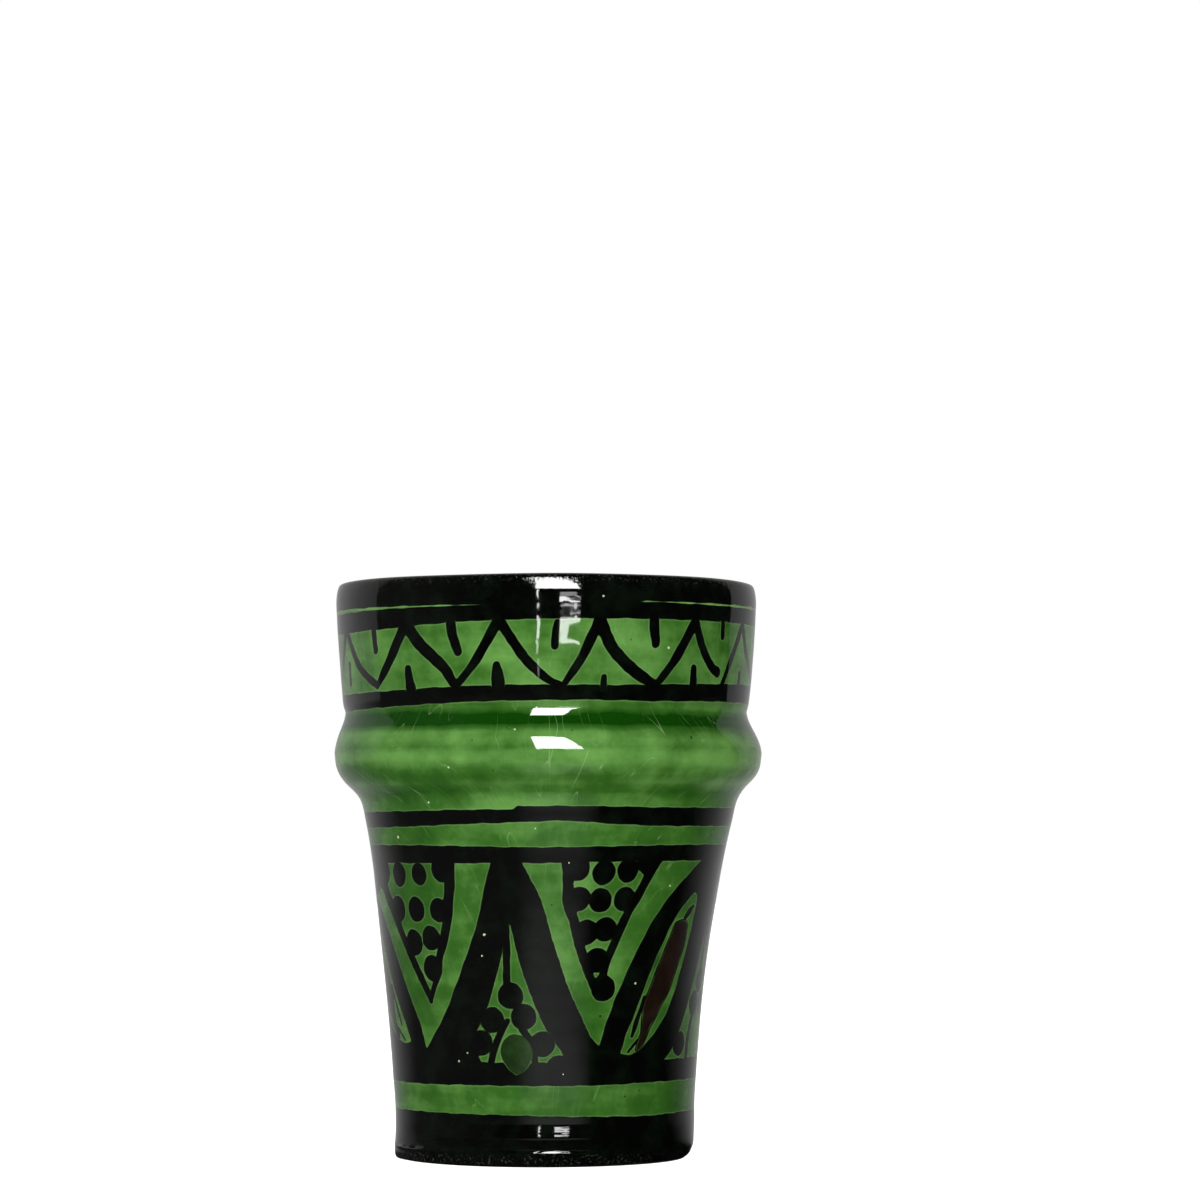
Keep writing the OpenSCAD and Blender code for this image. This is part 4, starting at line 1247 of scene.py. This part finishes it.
class CUP_OT_throw_clay(bpy.types.Operator):
    """Throw the clay: a lathe form from the middle of the foot over the lip to the middle of the floor"""
    bl_idname = "cup.throw_clay"
    bl_label = "Throw the clay"

    def execute(self, context):
        """The foot has a shallow recess marked by the cutting wire: arcs round a point off the rim.
        The rest is the glaze's skin, moved in by the glaze."""
        bottom = heights("clay_body")[0]
        # Depth and radius of the recess, and how far the edge curls out past its rim
        recess = 1.2
        ring = 23.0
        curl_r = 1.38
        edge_r = skin_radius(FOOT_EDGE) - GLAZE - FOOT_EDGE - 0.4
        under_r = np.concatenate([
            np.linspace(0, ring - recess, 34), np.linspace(ring - recess, ring, 5)[1:],
            np.linspace(ring, edge_r, 9)[1:],
        ])
        under_z = bottom + np.interp(under_r, [ring - recess, ring], [recess, 0])
        turn = np.radians(np.arange(COLUMNS) * TURN / COLUMNS)
        t, r = np.meshgrid(turn, under_r)
        z = np.repeat(under_z[:, None], COLUMNS, 1)
        x, y = r * np.sin(t), -r * np.cos(t)
        pulled = np.hypot(x + 34, y - 12)
        wire = 0.09 * np.sin(pulled * 3.1) + 0.05 * np.sin(pulled * 7.3)
        inner = np.clip((ring - recess - r) / 2, 0, 1)
        on_ring = np.clip((r - ring) / 1.2, 0, 1) * np.clip((edge_r - r) / 1.2, 0, 1)
        rub = 0.05 * (1 + np.sin(9 * t + r)) * on_ring
        z = z + wire * inner + rub
        x = x + lean(z)
        under = np.stack([x, y, z], -1)
        a = np.radians(np.linspace(-90, 0, 7))[1:-1]
        edge_z = bottom + FOOT_EDGE + FOOT_EDGE * np.sin(a)
        turn = turn[None, :]
        reach = curl_r + potter(np.degrees(turn), FOOT_EDGE)
        edge_x = edge_r + reach * np.cos(a)[:, None]
        edge_z = edge_z[:, None] + 0 * turn
        curl = np.stack([edge_x * np.sin(turn) + lean(edge_z), -edge_x * np.cos(turn), edge_z], -1)
        wall = round_grid(ways(
            (FOOT_EDGE, 1.2), (FIELD[1], 0.8), (FRIEZE[0], 1.2), (LIP, 0.5), (CUP.inner_lip, 1.5),
            (CUP.end - 20, 1.0), (CUP.end, 1),
        ), -GLAZE - TUCK)
        grid = np.concatenate([under, curl, wall[..., :3]])
        points = lathe_points(grid, closed=False)
        faces = lathe_faces(len(grid), COLUMNS, closed=False)
        finish_piece("thrown_clay", points, faces, once(earthenware), "bare_clay", ["clay_body"])
        return {"FINISHED"}


class CUP_OT_glaze_outside(bpy.types.Operator):
    """Glaze the outside from the foot's edge to the crest of the lip"""
    bl_idname = "cup.glaze_outside"
    bl_label = "Glaze the outside"

    def execute(self, context):
        """A shell: the skin up the outside, and the same skin moved in by the glaze on the way back."""
        low = CUP.way[0] + 0.12
        out = ways(
            (low, 0.2), (FOOT_TOP, 0.8), (SHOULDER[0], 0.4), (76.1, 0.1), (77.4, 0.4), (84, 0.1),
            (85.2, 0.7), (105, 0.25), (LIP, 0.18), (CUP.crest, 1),
        )
        back = ways((CUP.crest, 0.5), (LIP, 2.5), (FOOT_EDGE + 1, 0.5), (low, 1))
        grid = np.concatenate([round_grid(out, 0), round_grid(back, -GLAZE)])
        points = lathe_points(grid, closed=True)
        faces = lathe_faces(len(grid), COLUMNS, closed=True)
        finish_piece(
            "green_coat", points[:, :3], faces, once(copper_green_glaze), "green_glaze",
            ["outer_glaze"], pool=points[:, 3], craze=points[:, 4:],
        )
        return {"FINISHED"}


class CUP_OT_glaze_inside(bpy.types.Operator):
    """Glaze the inside from the crest of the lip over the floor"""
    bl_idname = "cup.glaze_inside"
    bl_label = "Glaze the inside"

    def execute(self, context):
        """A shell: under side from the middle of the floor up to the crest, and the skin back down."""
        down = ways((CUP.crest, 0.22), (CUP.inner_lip, 0.9), (CUP.end, 1))
        up = ways((CUP.end, 2.5), (CUP.inner_lip, 0.5), (CUP.crest, 1))
        grid = np.concatenate([round_grid(up, -GLAZE), round_grid(down, 0)])
        points = lathe_points(grid, closed=False)
        faces = lathe_faces(len(grid), COLUMNS, closed=False)
        finish_piece(
            "green_lining", points[:, :3], faces, once(copper_green_glaze), "green_glaze",
            ["inner_glaze"], pool=points[:, 3], craze=points[:, 4:],
        )
        return {"FINISHED"}


class CUP_OT_coat_lip(bpy.types.Operator):
    """Coat the lip in black, outside, over the crest and inside"""
    bl_idname = "cup.coat_lip"
    bl_label = "Coat the lip"

    def execute(self, context):
        """A ring whose lower edge lies outside and whose upper one, by way, lies inside the cup."""
        low = edge(
            0, (-75, 103.6), (-45, 103.4), (-22, 103.3), (-10, 102.9), (20, 102.9), (27, 104.05),
            (50, 104.15), (75, 104.3), (120, 104.1), (180, 103.8), (240, 103.7),
        )
        high = edge(
            CUP.inside(INSIDE_COAT), (-130, 0.5), (-60, -0.4), (0, 0.3), (40, 0.9), (90, 0.1),
            (150, -0.5), (190, 0.4),
        )
        shift = LIP_COAT[0] - READ_LIP_COAT
        start, stop = LIP_COAT[0] - MARGIN, CUP.inside(INSIDE_COAT) + MARGIN
        brushed(
            "black_lip", band(lambda theta: low(theta) + shift, high), (start, stop), "lip_coat",
            once(manganese_black), "black_paint", rise=2, step=0.36,
            rows=ways((start, 0.34), (105, 0.16), (CUP.crest, 0.36), (stop, 1)),
        )
        return {"FINISHED"}


class CUP_OT_paint_rings(bpy.types.Operator):
    """Paint the black rings while the cup turns on the wheel"""
    bl_idname = "cup.paint_rings"
    bl_label = "Paint the rings"

    def execute(self, context):
        """Each ring lies between two edges that drift a little as the cup turns."""
        frieze_top = edge(
            FRIEZE[1], (-70, -1.7), (-45, -1.4), (-34, -0.95), (-20, -0.5), (-5, -0.25), (22, 0),
            (50, 0.1), (70, 0.1), (120, 0), (180, -0.6), (240, -1.4),
        )
        line_top = edge(
            FRIEZE_HIGH[1], (-75, -0.4), (-45, -0.2), (-22, -0.05), (-10, 0.3), (10, 0.3), (27, 0.75),
            (50, 0.6), (75, 0.6), (120, 0.4), (180, 0), (240, -0.3),
        )
        frieze_foot = edge(
            FRIEZE[0], (-70, -1), (-45, -0.7), (-30, -0.3), (-10, 0), (20, 0), (50, 0.6), (70, 0.9),
            (120, 0.5), (180, -0.1), (240, -0.8),
        )
        groove_side = edge(
            FRIEZE_LOW[0], (-75, -1.4), (-45, -0.9), (-30, -0.55), (-20, -0.3), (12, 0), (30, -0.15),
            (50, 0.1), (70, 0.2), (120, 0.1), (180, -0.4), (240, -1),
        )
        shoulder_top = edge(
            SHOULDER[1], (-75, -0.9), (-45, -0.75), (-30, -0.55), (-10.6, -0.5), (-9.6, 0.1), (5, 0.15),
            (20, 0.05), (35, -0.1), (75, -0.1), (120, -0.1), (180, -0.3), (240, -0.6),
        )
        shoulder_foot = edge(
            SHOULDER[0], (-70, -1.1), (-45, -0.85), (-30, -0.5), (-15, -0.25), (5, 0.2), (20, -0.45),
            (35, -0.8), (60, -0.75), (120, -0.5), (180, -0.4), (240, -0.8),
        )
        skirt_top = edge(
            HIGH_RING[1], (-75, 0), (-45, 0), (-27, -0.15), (-10, -0.35), (3, -0.35), (45, 0.05), (60, 0.1),
        )
        skirt_foot = edge(HIGH_RING[0], (-45, -0.3), (-22, -0.25), (3, -0.2), (30, 0.1), (60, 0.2))
        low_top = edge(LOW_RING[1] + 0.3, (-60, 0), (60, 0.1))
        low_foot = edge(
            LOW_RING[0], (-60, -0.2), (-45, -0.15), (-30, 0), (10, 0), (25, 0.05), (40, 0.25), (60, 0.3),
            (140, 0.15), (230, -0.1),
        )
        drop = skirt_area(DROP)
        table = (
            ("collar_line_high", band(frieze_top, line_top), FRIEZE_HIGH, "frieze_upper_ring", 0),
            ("collar_line_low", band(groove_side, frieze_foot), FRIEZE_LOW, "frieze_lower_ring", 0),
            ("shoulder_line", band(shoulder_foot, shoulder_top), SHOULDER, "shoulder_ring", 0),
            ("skirt_line_high", band(skirt_foot, skirt_top), HIGH_RING, "skirt_upper_ring", 1),
            (
                "skirt_line_low", without(band(low_foot, low_top), twice(drop)), LOW_RING,
                "skirt_lower_ring", 1,
            ),
        )
        for name, field, zone, node, rise in table:
            brushed(
                name, field, (zone[0] - MARGIN, zone[1] + MARGIN), node, once(manganese_black),
                "black_paint", rise,
            )
        return {"FINISHED"}


class CUP_OT_paint_frieze(bpy.types.Operator):
    """Paint the zigzag and the short strokes of the collar"""
    bl_idname = "cup.paint_frieze"
    bl_label = "Paint the frieze"

    def execute(self, context):
        """Brush strokes along short curves, joined into three films."""
        legs, hanging, standing = back_frieze()
        table = (
            ("zigzag", legs + [frieze_stroke(row) for row in STRAIGHT + CURVED], "frieze_chevrons", 3),
            (
                "hanging_strokes", hanging + [frieze_stroke(row) for row in HANGING],
                "frieze_hanging_ticks", 5,
            ),
            (
                "standing_strokes", standing + [frieze_stroke(row) for row in STANDING],
                "frieze_standing_ticks", 6,
            ),
        )
        zone = band(edge(FRIEZE[0] - 1.6), edge(FRIEZE[1] + 1.2))
        for name, strokes, node, rise in table:
            brushed(
                name, within(joined(*strokes), zone), (FRIEZE[0] - 3, FRIEZE[1] + 3), node,
                once(manganese_black), "black_paint", rise, step=0.3,
            )
        return {"FINISHED"}


class CUP_OT_paint_petal_ground(bpy.types.Operator):
    """Paint the black ground that leaves petals, leaves and tents green"""
    bl_idname = "cup.paint_petal_ground"
    bl_label = "Paint the petal ground"

    def execute(self, context):
        """The petal field, less the outlines of petals, leaf rims and tents."""
        holes = [skirt_area(shape) for shape in (*PETALS, *TENTS)] + leaf_areas(LEAF_RIM)
        ground = band(edge(FIELD[0] - 0.7), edge(FIELD[1] + 0.7))
        brushed(
            "petal_ground", without(ground, twice(joined(*holes))), (FIELD[0] - 3, FIELD[1] + 3),
            "petal_field", once(manganese_black), "black_paint", rise=0, step=0.345,
        )
        return {"FINISHED"}


def mirrored(parts):
    """Lines of the leaf's twin: angles counted the other way from its foot, and stretched, and
    heights raised."""
    return [
        [
            (TWIN_FOOT - TWIN_STRETCH * (angle - LEAF_FOOT), height + TWIN_RISE, *width)
            for angle, height, *width in part
        ]
        for part in parts
    ]


def leaf_areas(parts):
    """Fields of the leaf and its mirrored twin."""
    return [skirt_area(leaf) for leaf in (parts, mirrored(parts))]


class CUP_OT_paint_pendants(bpy.types.Operator):
    """Paint the hanging bunches of grapes in the petals"""
    bl_idname = "cup.paint_pendants"
    bl_label = "Paint the grape pendants"

    def execute(self, context):
        """Outline strokes and round dabs, kept inside the petals."""
        marks = [stroke(*skirt(row)) for row in PENDANTS]
        marks += [dots(skirt(row)) for row in GRAPES]
        zone = band(edge(FIELD[0]), edge(FIELD[1] + 1))
        brushed(
            "grape_bunches", within(twice(joined(*marks)), zone), (FIELD[0] + 6, FIELD[1] + 3),
            "grape_pendants", once(manganese_black), "black_paint", rise=3, step=0.31,
        )
        return {"FINISHED"}


class CUP_OT_paint_sprigs(bpy.types.Operator):
    """Paint the berry sprigs in the tents"""
    bl_idname = "cup.paint_sprigs"
    bl_label = "Paint the berry sprigs"

    def execute(self, context):
        """Stems and round dabs, kept inside the tents and off the green drop."""
        marks = [stroke(*skirt(row)) for row in SPRIG_STEMS]
        marks += [dots(skirt(row)) for row in SPRIG_DOTS]
        tents = joined(*[skirt_area(tent) for tent in TENTS])
        drop = skirt_area(DROP)
        field = without(within(joined(*marks), tents, 0.5), drop)
        brushed(
            "berry_stems", twice(field), (FIELD[0] - 4, FIELD[1] - 6), "berry_sprigs",
            once(manganese_black), "black_paint", rise=4, step=0.3,
        )
        return {"FINISHED"}


class CUP_OT_paint_leaves(bpy.types.Operator):
    """Paint the red leaves and the thin black lines round them"""
    bl_idname = "cup.paint_leaves"
    bl_label = "Paint the leaves"

    def execute(self, context):
        """A lens of red, and the lens grown by a line's width less the lens, with a tapering tip."""
        lens = joined(*leaf_areas(LEAF_LENS))
        tips = [stroke(*skirt(row)) for row in (*LEAF_TIPS, *mirrored(LEAF_TIPS))]
        span = (FIELD[0] - 2, FIELD[1] - 4)

        def line(theta, way):
            """A ring one line wide outside the lens, joined with the tips."""
            ring = np.abs(lens(theta, way) - LEAF_LINE / 2) - LEAF_LINE / 2
            return np.minimum(ring, joined(*tips)(theta, way))

        brushed(
            "leaf_lines", twice(line), span, "leaf_outlines", once(manganese_black), "black_paint",
            rise=5, step=0.17, wander=0.05,
        )
        brushed(
            "red_leaves", twice(lens), span, "leaf_fills", once(iron_red), "red_paint", rise=1,
            step=0.3,
        )
        return {"FINISHED"}


class CUP_OT_dab_drops(bpy.types.Operator):
    """Dab a drop of deeper green under each front sprig"""
    bl_idname = "cup.dab_drops"
    bl_label = "Dab the drops"

    def execute(self, context):
        """A round form with a pointed foot."""
        brushed(
            "dew_marks", twice(skirt_area(DROP)), (FIELD[0] - 5, FIELD[0] + 10),
            "dew_drops", once(copper_drop), "dark_green_glaze", rise=5, step=0.3,
        )
        return {"FINISHED"}


class CUP_OT_band_foot(bpy.types.Operator):
    """Band the foot in black, down to its crusty edge"""
    bl_idname = "cup.band_foot"
    bl_label = "Band the foot"

    def execute(self, context):
        """A ring from a drifting upper edge down to where the glaze ends."""
        top = edge(
            FOOT_TOP, (-60, 0.2), (-45, 0.2), (-15, 0.15), (10, -0.15), (25, -0.25), (40, -0.4), (60, -0.2),
            (150, 0.1), (230, -0.05),
        )
        low = CUP.way[0] + TUCK
        brushed(
            "black_foot", band(edge(low - 1), top), (low, FOOT_TOP + MARGIN), "foot_band",
            once(manganese_black), "black_paint", rise=2, step=0.32,
            rows=ways((low, 0.16), (8.6, 0.3), (FOOT_TOP + MARGIN, 1)),
        )
        return {"FINISHED"}


class CUP_OT_prick_holes(bpy.types.Operator):
    """Prick the pinholes and specks in the glaze"""
    bl_idname = "cup.prick_holes"
    bl_label = "Prick the pinholes"

    def execute(self, context):
        """Each is a closed lens: rings of a low dome round its middle, and a sunk point below."""
        share = np.array([0.0, 0.4, 0.75, 1.0])
        dome = np.array([0.085, 0.075, 0.05, -0.02])
        turns = np.radians(np.arange(14) * TURN / 14)
        points, faces, tones = [], [], []
        for number, (theta, height, size, tone) in enumerate(PINHOLES):
            s, a = np.meshgrid(share, turns, indexing="ij")
            lift = np.repeat(dome[:, None], len(turns), 1)
            side = size / 2 * s * np.cos(a) * (1 + 0.2 * np.sin(3 * a + number))
            up = size / 2 * s * np.sin(a)
            t = theta + np.degrees(side / skin_radius(height))
            ring = np.concatenate([t, t[:1]]), np.concatenate([height + up, height + up[:1]])
            lifts = np.concatenate([lift, np.full((1, len(turns)), -0.1)])
            grid = on_cup(ring[0], ring[1], lifts)[::-1]
            start = sum(len(part) for part in points)
            points.append(lathe_points(grid, closed=False))
            faces += [group + start for group in lathe_faces(len(grid), len(turns), closed=False)]
            tones.append(np.full(len(points[-1]), tone))
        finish_piece(
            "pinholes", np.concatenate(points), faces, once(pinhole), "bare_clay", [],
            tone=np.concatenate(tones),
        )
        return {"FINISHED"}


# Stage

def stage_piece(name, points, faces, material):
    """A mesh in metres that isn't part of the cup."""
    mesh = bpy.data.meshes.new(name)
    mesh.from_pydata(points, [], faces)
    mesh.materials.append(material)
    piece = bpy.data.objects.new(name, mesh)
    bpy.context.scene.collection.objects.link(piece)
    return piece


def seen_by(tree):
    """Light Path sockets: whether a camera ray or a mirrored ray asks."""
    path = add(tree, "LightPath")
    return path.outputs["Is Camera Ray"], path.outputs["Is Glossy Ray"]


def room(tree, direction):
    """Light of the room that the glaze mirrors, for a direction or a place on the table: a dark front,
    a little brighter on the far left, and a pale backdrop that starts a little further round on the
    right than on the left and brightens towards the back. Also gives the flat unit direction."""
    flat = add(tree, "VectorMath", {0: direction, 1: (1, 1, 0)}, operation="MULTIPLY")
    unit = add(tree, "VectorMath", {0: flat.outputs[0]}, operation="NORMALIZE").outputs[0]
    side = add(tree, "SeparateXYZ", {0: unit}).outputs[0]
    front = add(tree, "MapRange", {
        "Value": side, "From Min": -0.95, "From Max": -0.55, "To Min": 0.06, "To Max": 0.01,
    })
    back = add(tree, "MapRange", {
        "Value": side, "From Min": -1, "From Max": 1, "To Min": 0.44, "To Max": 0.42,
    })
    along = add(tree, "VectorMath", {0: unit, 1: (-0.1478, 0.989, 0)}, operation="DOT_PRODUCT")
    deeper = add(tree, "MapRange", {
        "Value": along.outputs["Value"], "From Min": 0.4, "From Max": 0.85, "To Min": 0.66, "To Max": 1,
    })
    pale = add(tree, "Math", {0: back.outputs[0], 1: deeper.outputs[0]}, operation="MULTIPLY")
    behind = add(tree, "MapRange", {
        "Value": along.outputs["Value"], "From Min": 0.39, "From Max": 0.405,
    })
    light = add(tree, "Mix", {
        0: behind.outputs[0], 2: front.outputs[0], 3: pale.outputs[0],
    }, data_type="FLOAT")
    return light.outputs[0], unit


def white_table():
    """Matt white table top. The camera sees it as white with the cup's soft shadow. In the glaze it
    mirrors a haze in front of the cup, which fades out 13 to 26 cm away, and paler light towards the
    back, and it is dimmer right beside the foot."""
    material, tree = begin("white_table")
    camera, glossy = seen_by(tree)
    place = add(tree, "TexCoord").outputs["Object"]
    plain = add(tree, "BsdfDiffuse", {"Color": (0.9, 0.9, 0.9, 1)})
    white = add(tree, "Emission", {"Color": (1, 1, 1, 1), "Strength": 0.72})
    seen = add(tree, "MixShader", {0: 0.62, 1: plain.outputs[0], 2: white.outputs[0]})
    lit = add(tree, "AddShader", {0: seen.outputs[0], 1: white.outputs[0]})
    shown = add(tree, "MixShader", {0: camera, 1: plain.outputs[0], 2: lit.outputs[0]})
    far, unit = room(tree, place)
    away = add(tree, "VectorMath", {0: place}, operation="LENGTH").outputs["Value"]
    axes = add(tree, "SeparateXYZ", {0: unit})
    dim = add(tree, "MapRange", {
        "Value": axes.outputs[0], "From Min": -0.2, "From Max": 0.45, "To Min": 0.065, "To Max": 0.008,
    })
    paler = add(tree, "MapRange", {
        "Value": axes.outputs[1], "From Min": 0, "From Max": 1, "To Min": 0, "To Max": 0.42,
    }, interpolation_type="SMOOTHSTEP")
    ahead = add(tree, "VectorMath", {0: unit, 1: (0.105, -0.9945, 0)}, operation="DOT_PRODUCT")
    cone = add(tree, "MapRange", {
        "Value": ahead.outputs["Value"], "From Min": 0.895, "From Max": 0.998, "To Min": 0, "To Max": 0.4,
    }, interpolation_type="SMOOTHSTEP")
    start = add(tree, "MapRange", {"Value": away, "From Min": 0.055, "From Max": 0.085})
    stop = add(tree, "MapRange", {"Value": away, "From Min": 0.26, "From Max": 0.13})
    reach = add(tree, "Math", {0: start.outputs[0], 1: stop.outputs[0]}, operation="MULTIPLY")
    haze = add(tree, "Math", {0: cone.outputs[0], 1: reach.outputs[0]}, operation="MULTIPLY")
    beside = add(tree, "MapRange", {
        "Value": away, "From Min": 0.075, "From Max": 0.12, "To Min": 0.5, "To Max": 1,
    })
    dimmed = add(tree, "Math", {0: dim.outputs[0], 1: beside.outputs[0]}, operation="MULTIPLY")
    soft = add(tree, "Math", {0: paler.outputs[0], 1: dimmed.outputs[0]}, operation="MAXIMUM")
    near = add(tree, "Math", {0: soft.outputs[0], 1: haze.outputs[0]}, operation="ADD")
    leaving = add(tree, "MapRange", {"Value": away, "From Min": 0.4, "From Max": 0.8})
    mirror = add(tree, "Mix", {0: leaving.outputs[0], 2: near.outputs[0], 3: far}, data_type="FLOAT")
    glow = add(tree, "Emission", {"Color": (1, 1, 1, 1), "Strength": mirror.outputs[0]})
    end(tree, add(tree, "MixShader", {0: glossy, 1: shown.outputs[0], 2: glow.outputs[0]}).outputs[0])
    return material


def lit_panel():
    """White diffusion fabric over a lamp, seen only as a highlight in the glaze. Each panel's glow is
    a share of the glare."""
    material, tree = begin("lit_panel")
    glow = add(tree, "Attribute", attribute_name="glow").outputs["Fac"]
    glare = bpy.context.scene.cup_studio.glare
    strength = add(tree, "Math", {0: glow, 1: glare}, operation="MULTIPLY")
    shine = add(tree, "Emission", {"Color": (1, 1, 1, 1), "Strength": strength.outputs[0]})
    end(tree, shine.outputs[0])
    return material


# Panels that the glaze mirrors: metres away, share of the glare, and corners as degrees to the right
# and up, seen from the cup's axis at the panels' level
PANEL_LEVEL = 0.09
PANELS = (
    ("soft_window", 0.9, 1.5, ((-6, 11), (18.3, 11), (9.6, 36), (-9.6, 36))),
    ("window_edge_high", 0.5, 1.3, ((-5.1, 0.2), (-4.6, 0.2), (-4.2, 9), (-5.2, 9), (-5.5, 1.5))),
    (
        "window_edge", 0.5, 0.9,
        ((-5.2, -1.6), (-4.3, -1.6), (-3.3, -3.4), (-4, -4.9), (-4.9, -4.9), (-5, -3.4)),
    ),
    ("window_edge_low", 0.5, 0.65, ((-5.4, -5.1), (-4.2, -5.1), (-4, -6.3), (-5, -6.3))),
    ("window_edge_foot", 0.5, 0.22, ((-4.6, -6.9), (-3.5, -6.9), (-3.5, -8.3), (-4.2, -8.3))),
    (
        "window_block", 0.5, 0.9, (
            (6.9, -5.9), (14.5, -5.75), (17.6, -6.1), (17.2, -5.3), (11.5, -4.9), (10.5, -4.7),
            (12.2, -3.8), (13.4, -3.6), (17.6, -3.4), (17.6, -2.5), (16, -2.4), (15.8, -1.9), (14.6, -1.9),
            (14.4, -2.4), (7.2, -2.4),
        ),
    ),
    (
        "window_block_high", 0.5, 1.4, (
            (6.6, -1), (8, -1.1), (8.6, -0.6), (10.8, -0.6), (11.8, -0.8), (12.6, -1.4), (17.3, -1.35),
            (17.3, -0.9), (13.5, -0.3), (9.5, 0.5), (6.8, 0.6),
        ),
    ),
    ("window_streak", 0.5, 0.9, ((17.4, -0.2), (17.6, 0.05), (15, 0.9), (14.3, 0.7))),
    ("window_veil", 0.5, 0.35, ((6.9, 0.75), (13, 0.8), (15.7, 1.2), (15.5, 3.6), (7.1, 3.7))),
)


def panel_corners(distance, corners):
    """Corners in metres on an upright plane in front of the cup."""
    azimuth, elevation = np.radians(corners).T
    x = distance * np.tan(azimuth)
    z = PANEL_LEVEL + distance * np.tan(elevation) / np.cos(azimuth)
    return np.stack([x, np.full(len(x), -distance), z], -1).tolist()


def light_world():
    """White for the camera, an even fill for matt surfaces, and in the glaze a white backdrop
    behind the cup and a dark room in front."""
    world = bpy.data.worlds.new("studio")
    bpy.context.scene.world = world
    world.use_nodes = True
    tree = world.node_tree
    tree.nodes.clear()
    camera, glossy = seen_by(tree)
    direction = add(tree, "TexCoord").outputs["Generated"]
    fill = bpy.context.scene.cup_studio.fill
    matt = add(tree, "Mix", {0: glossy, 2: fill, 3: room(tree, direction)[0]}, data_type="FLOAT")
    level = add(tree, "Mix", {0: camera, 2: matt.outputs[0], 3: 1.0}, data_type="FLOAT")
    sky = add(tree, "Background", {"Color": (1, 1, 1, 1), "Strength": level.outputs[0]})
    add(tree, "OutputWorld", {"Surface": sky.outputs[0]})


def add_lamp(name, place, aim, size, watts):
    """A soft square lamp that lights matt surfaces and isn't mirrored."""
    data = bpy.data.lights.new(name, "AREA")
    data.energy = watts
    data.size = size
    lamp = bpy.data.objects.new(name, data)
    bpy.context.scene.collection.objects.link(lamp)
    lamp.visible_glossy = False
    lamp.location = place
    away = np.array(place) - np.array(aim)
    flat = math.hypot(away[0], away[1])
    lamp.rotation_euler = (math.atan2(flat, away[2]), 0, math.atan2(away[0], -away[1]))


class CUP_OT_set_stage(bpy.types.Operator):
    """Set the table, backdrop, lamps and camera"""
    bl_idname = "cup.set_stage"
    bl_label = "Set the stage"

    def execute(self, context):
        """Table and panels as plain surfaces, two soft lamps, and the camera at the photograph's place."""
        studio = context.scene.cup_studio
        half = 3.0
        corners = [(-half, -half, 0), (half, -half, 0), (half, half, 0), (-half, half, 0)]
        stage_piece("table_top", corners, [(0, 1, 2, 3)], white_table())
        material = lit_panel()
        for name, distance, glow, corners in PANELS:
            outline = panel_corners(distance, corners)
            panel = stage_piece(name, outline, [tuple(range(len(outline)))], material)
            shine = panel.data.attributes.new("glow", "FLOAT", "POINT")
            shine.data.foreach_set("value", np.full(len(outline), glow, dtype=np.float32))
            panel.visible_camera = False
            panel.visible_diffuse = False
            panel.visible_shadow = False
            panel.visible_transmission = False
        light_world()
        add_lamp("key_lamp", (-0.08, -1.0, 0.42), (0, 0, 0.06), 0.7, studio.key)
        add_lamp("top_lamp", (-0.3, 0.5, 1.1), (0, 0, 0.05), 0.8, studio.key * 0.5)
        data = bpy.data.cameras.new("camera")
        data.lens = studio.lens
        data.sensor_width = 36
        data.clip_start = 0.01
        camera = bpy.data.objects.new("camera", data)
        context.scene.collection.objects.link(camera)
        camera.location = (0, -studio.distance, studio.height)
        camera.rotation_euler = (math.pi / 2 + studio.pitch, 0, -studio.yaw)
        context.scene.camera = camera
        context.scene.view_settings.view_transform = "Standard"
        return {"FINISHED"}


STEPS = (
    CUP_OT_throw_clay, CUP_OT_glaze_outside, CUP_OT_glaze_inside, CUP_OT_coat_lip, CUP_OT_paint_rings,
    CUP_OT_paint_frieze, CUP_OT_paint_petal_ground, CUP_OT_paint_pendants, CUP_OT_paint_sprigs,
    CUP_OT_paint_leaves, CUP_OT_dab_drops, CUP_OT_band_foot, CUP_OT_prick_holes, CUP_OT_set_stage,
)


class CUP_PT_steps(bpy.types.Panel):
    """Steps of making the cup, and their settings"""
    bl_label = "Tea cup"
    bl_idname = "CUP_PT_steps"
    bl_space_type = "VIEW_3D"
    bl_region_type = "UI"
    bl_category = "Tea cup"

    def draw(self, context):
        """One button for each step, then every setting."""
        for step in STEPS:
            self.layout.operator(step.bl_idname)
        for group in ("cup_brush", "cup_colours", "cup_studio"):
            settings = getattr(context.scene, group)
            for name in settings.bl_rna.properties.keys():
                if name not in ("rna_type", "name"):
                    self.layout.prop(settings, name)


GROUPS = (("cup_brush", CupBrush), ("cup_colours", CupColours), ("cup_studio", CupStudio))


def register():
    """Registers settings, steps and panel."""
    for name, group in GROUPS:
        bpy.utils.register_class(group)
        setattr(bpy.types.Scene, name, bpy.props.PointerProperty(type=group))
    for item in (*STEPS, CUP_PT_steps):
        bpy.utils.register_class(item)


def unregister():
    """Takes everything back in reverse."""
    for item in (CUP_PT_steps, *reversed(STEPS)):
        bpy.utils.unregister_class(item)
    for name, group in reversed(GROUPS):
        delattr(bpy.types.Scene, name)
        bpy.utils.unregister_class(group)


def main():
    """Makes the cup and its stage."""
    register()
    for step in STEPS:
        group, name = step.bl_idname.split(".")
        getattr(getattr(bpy.ops, group), name)()


if __name__ == "__main__":
    main()
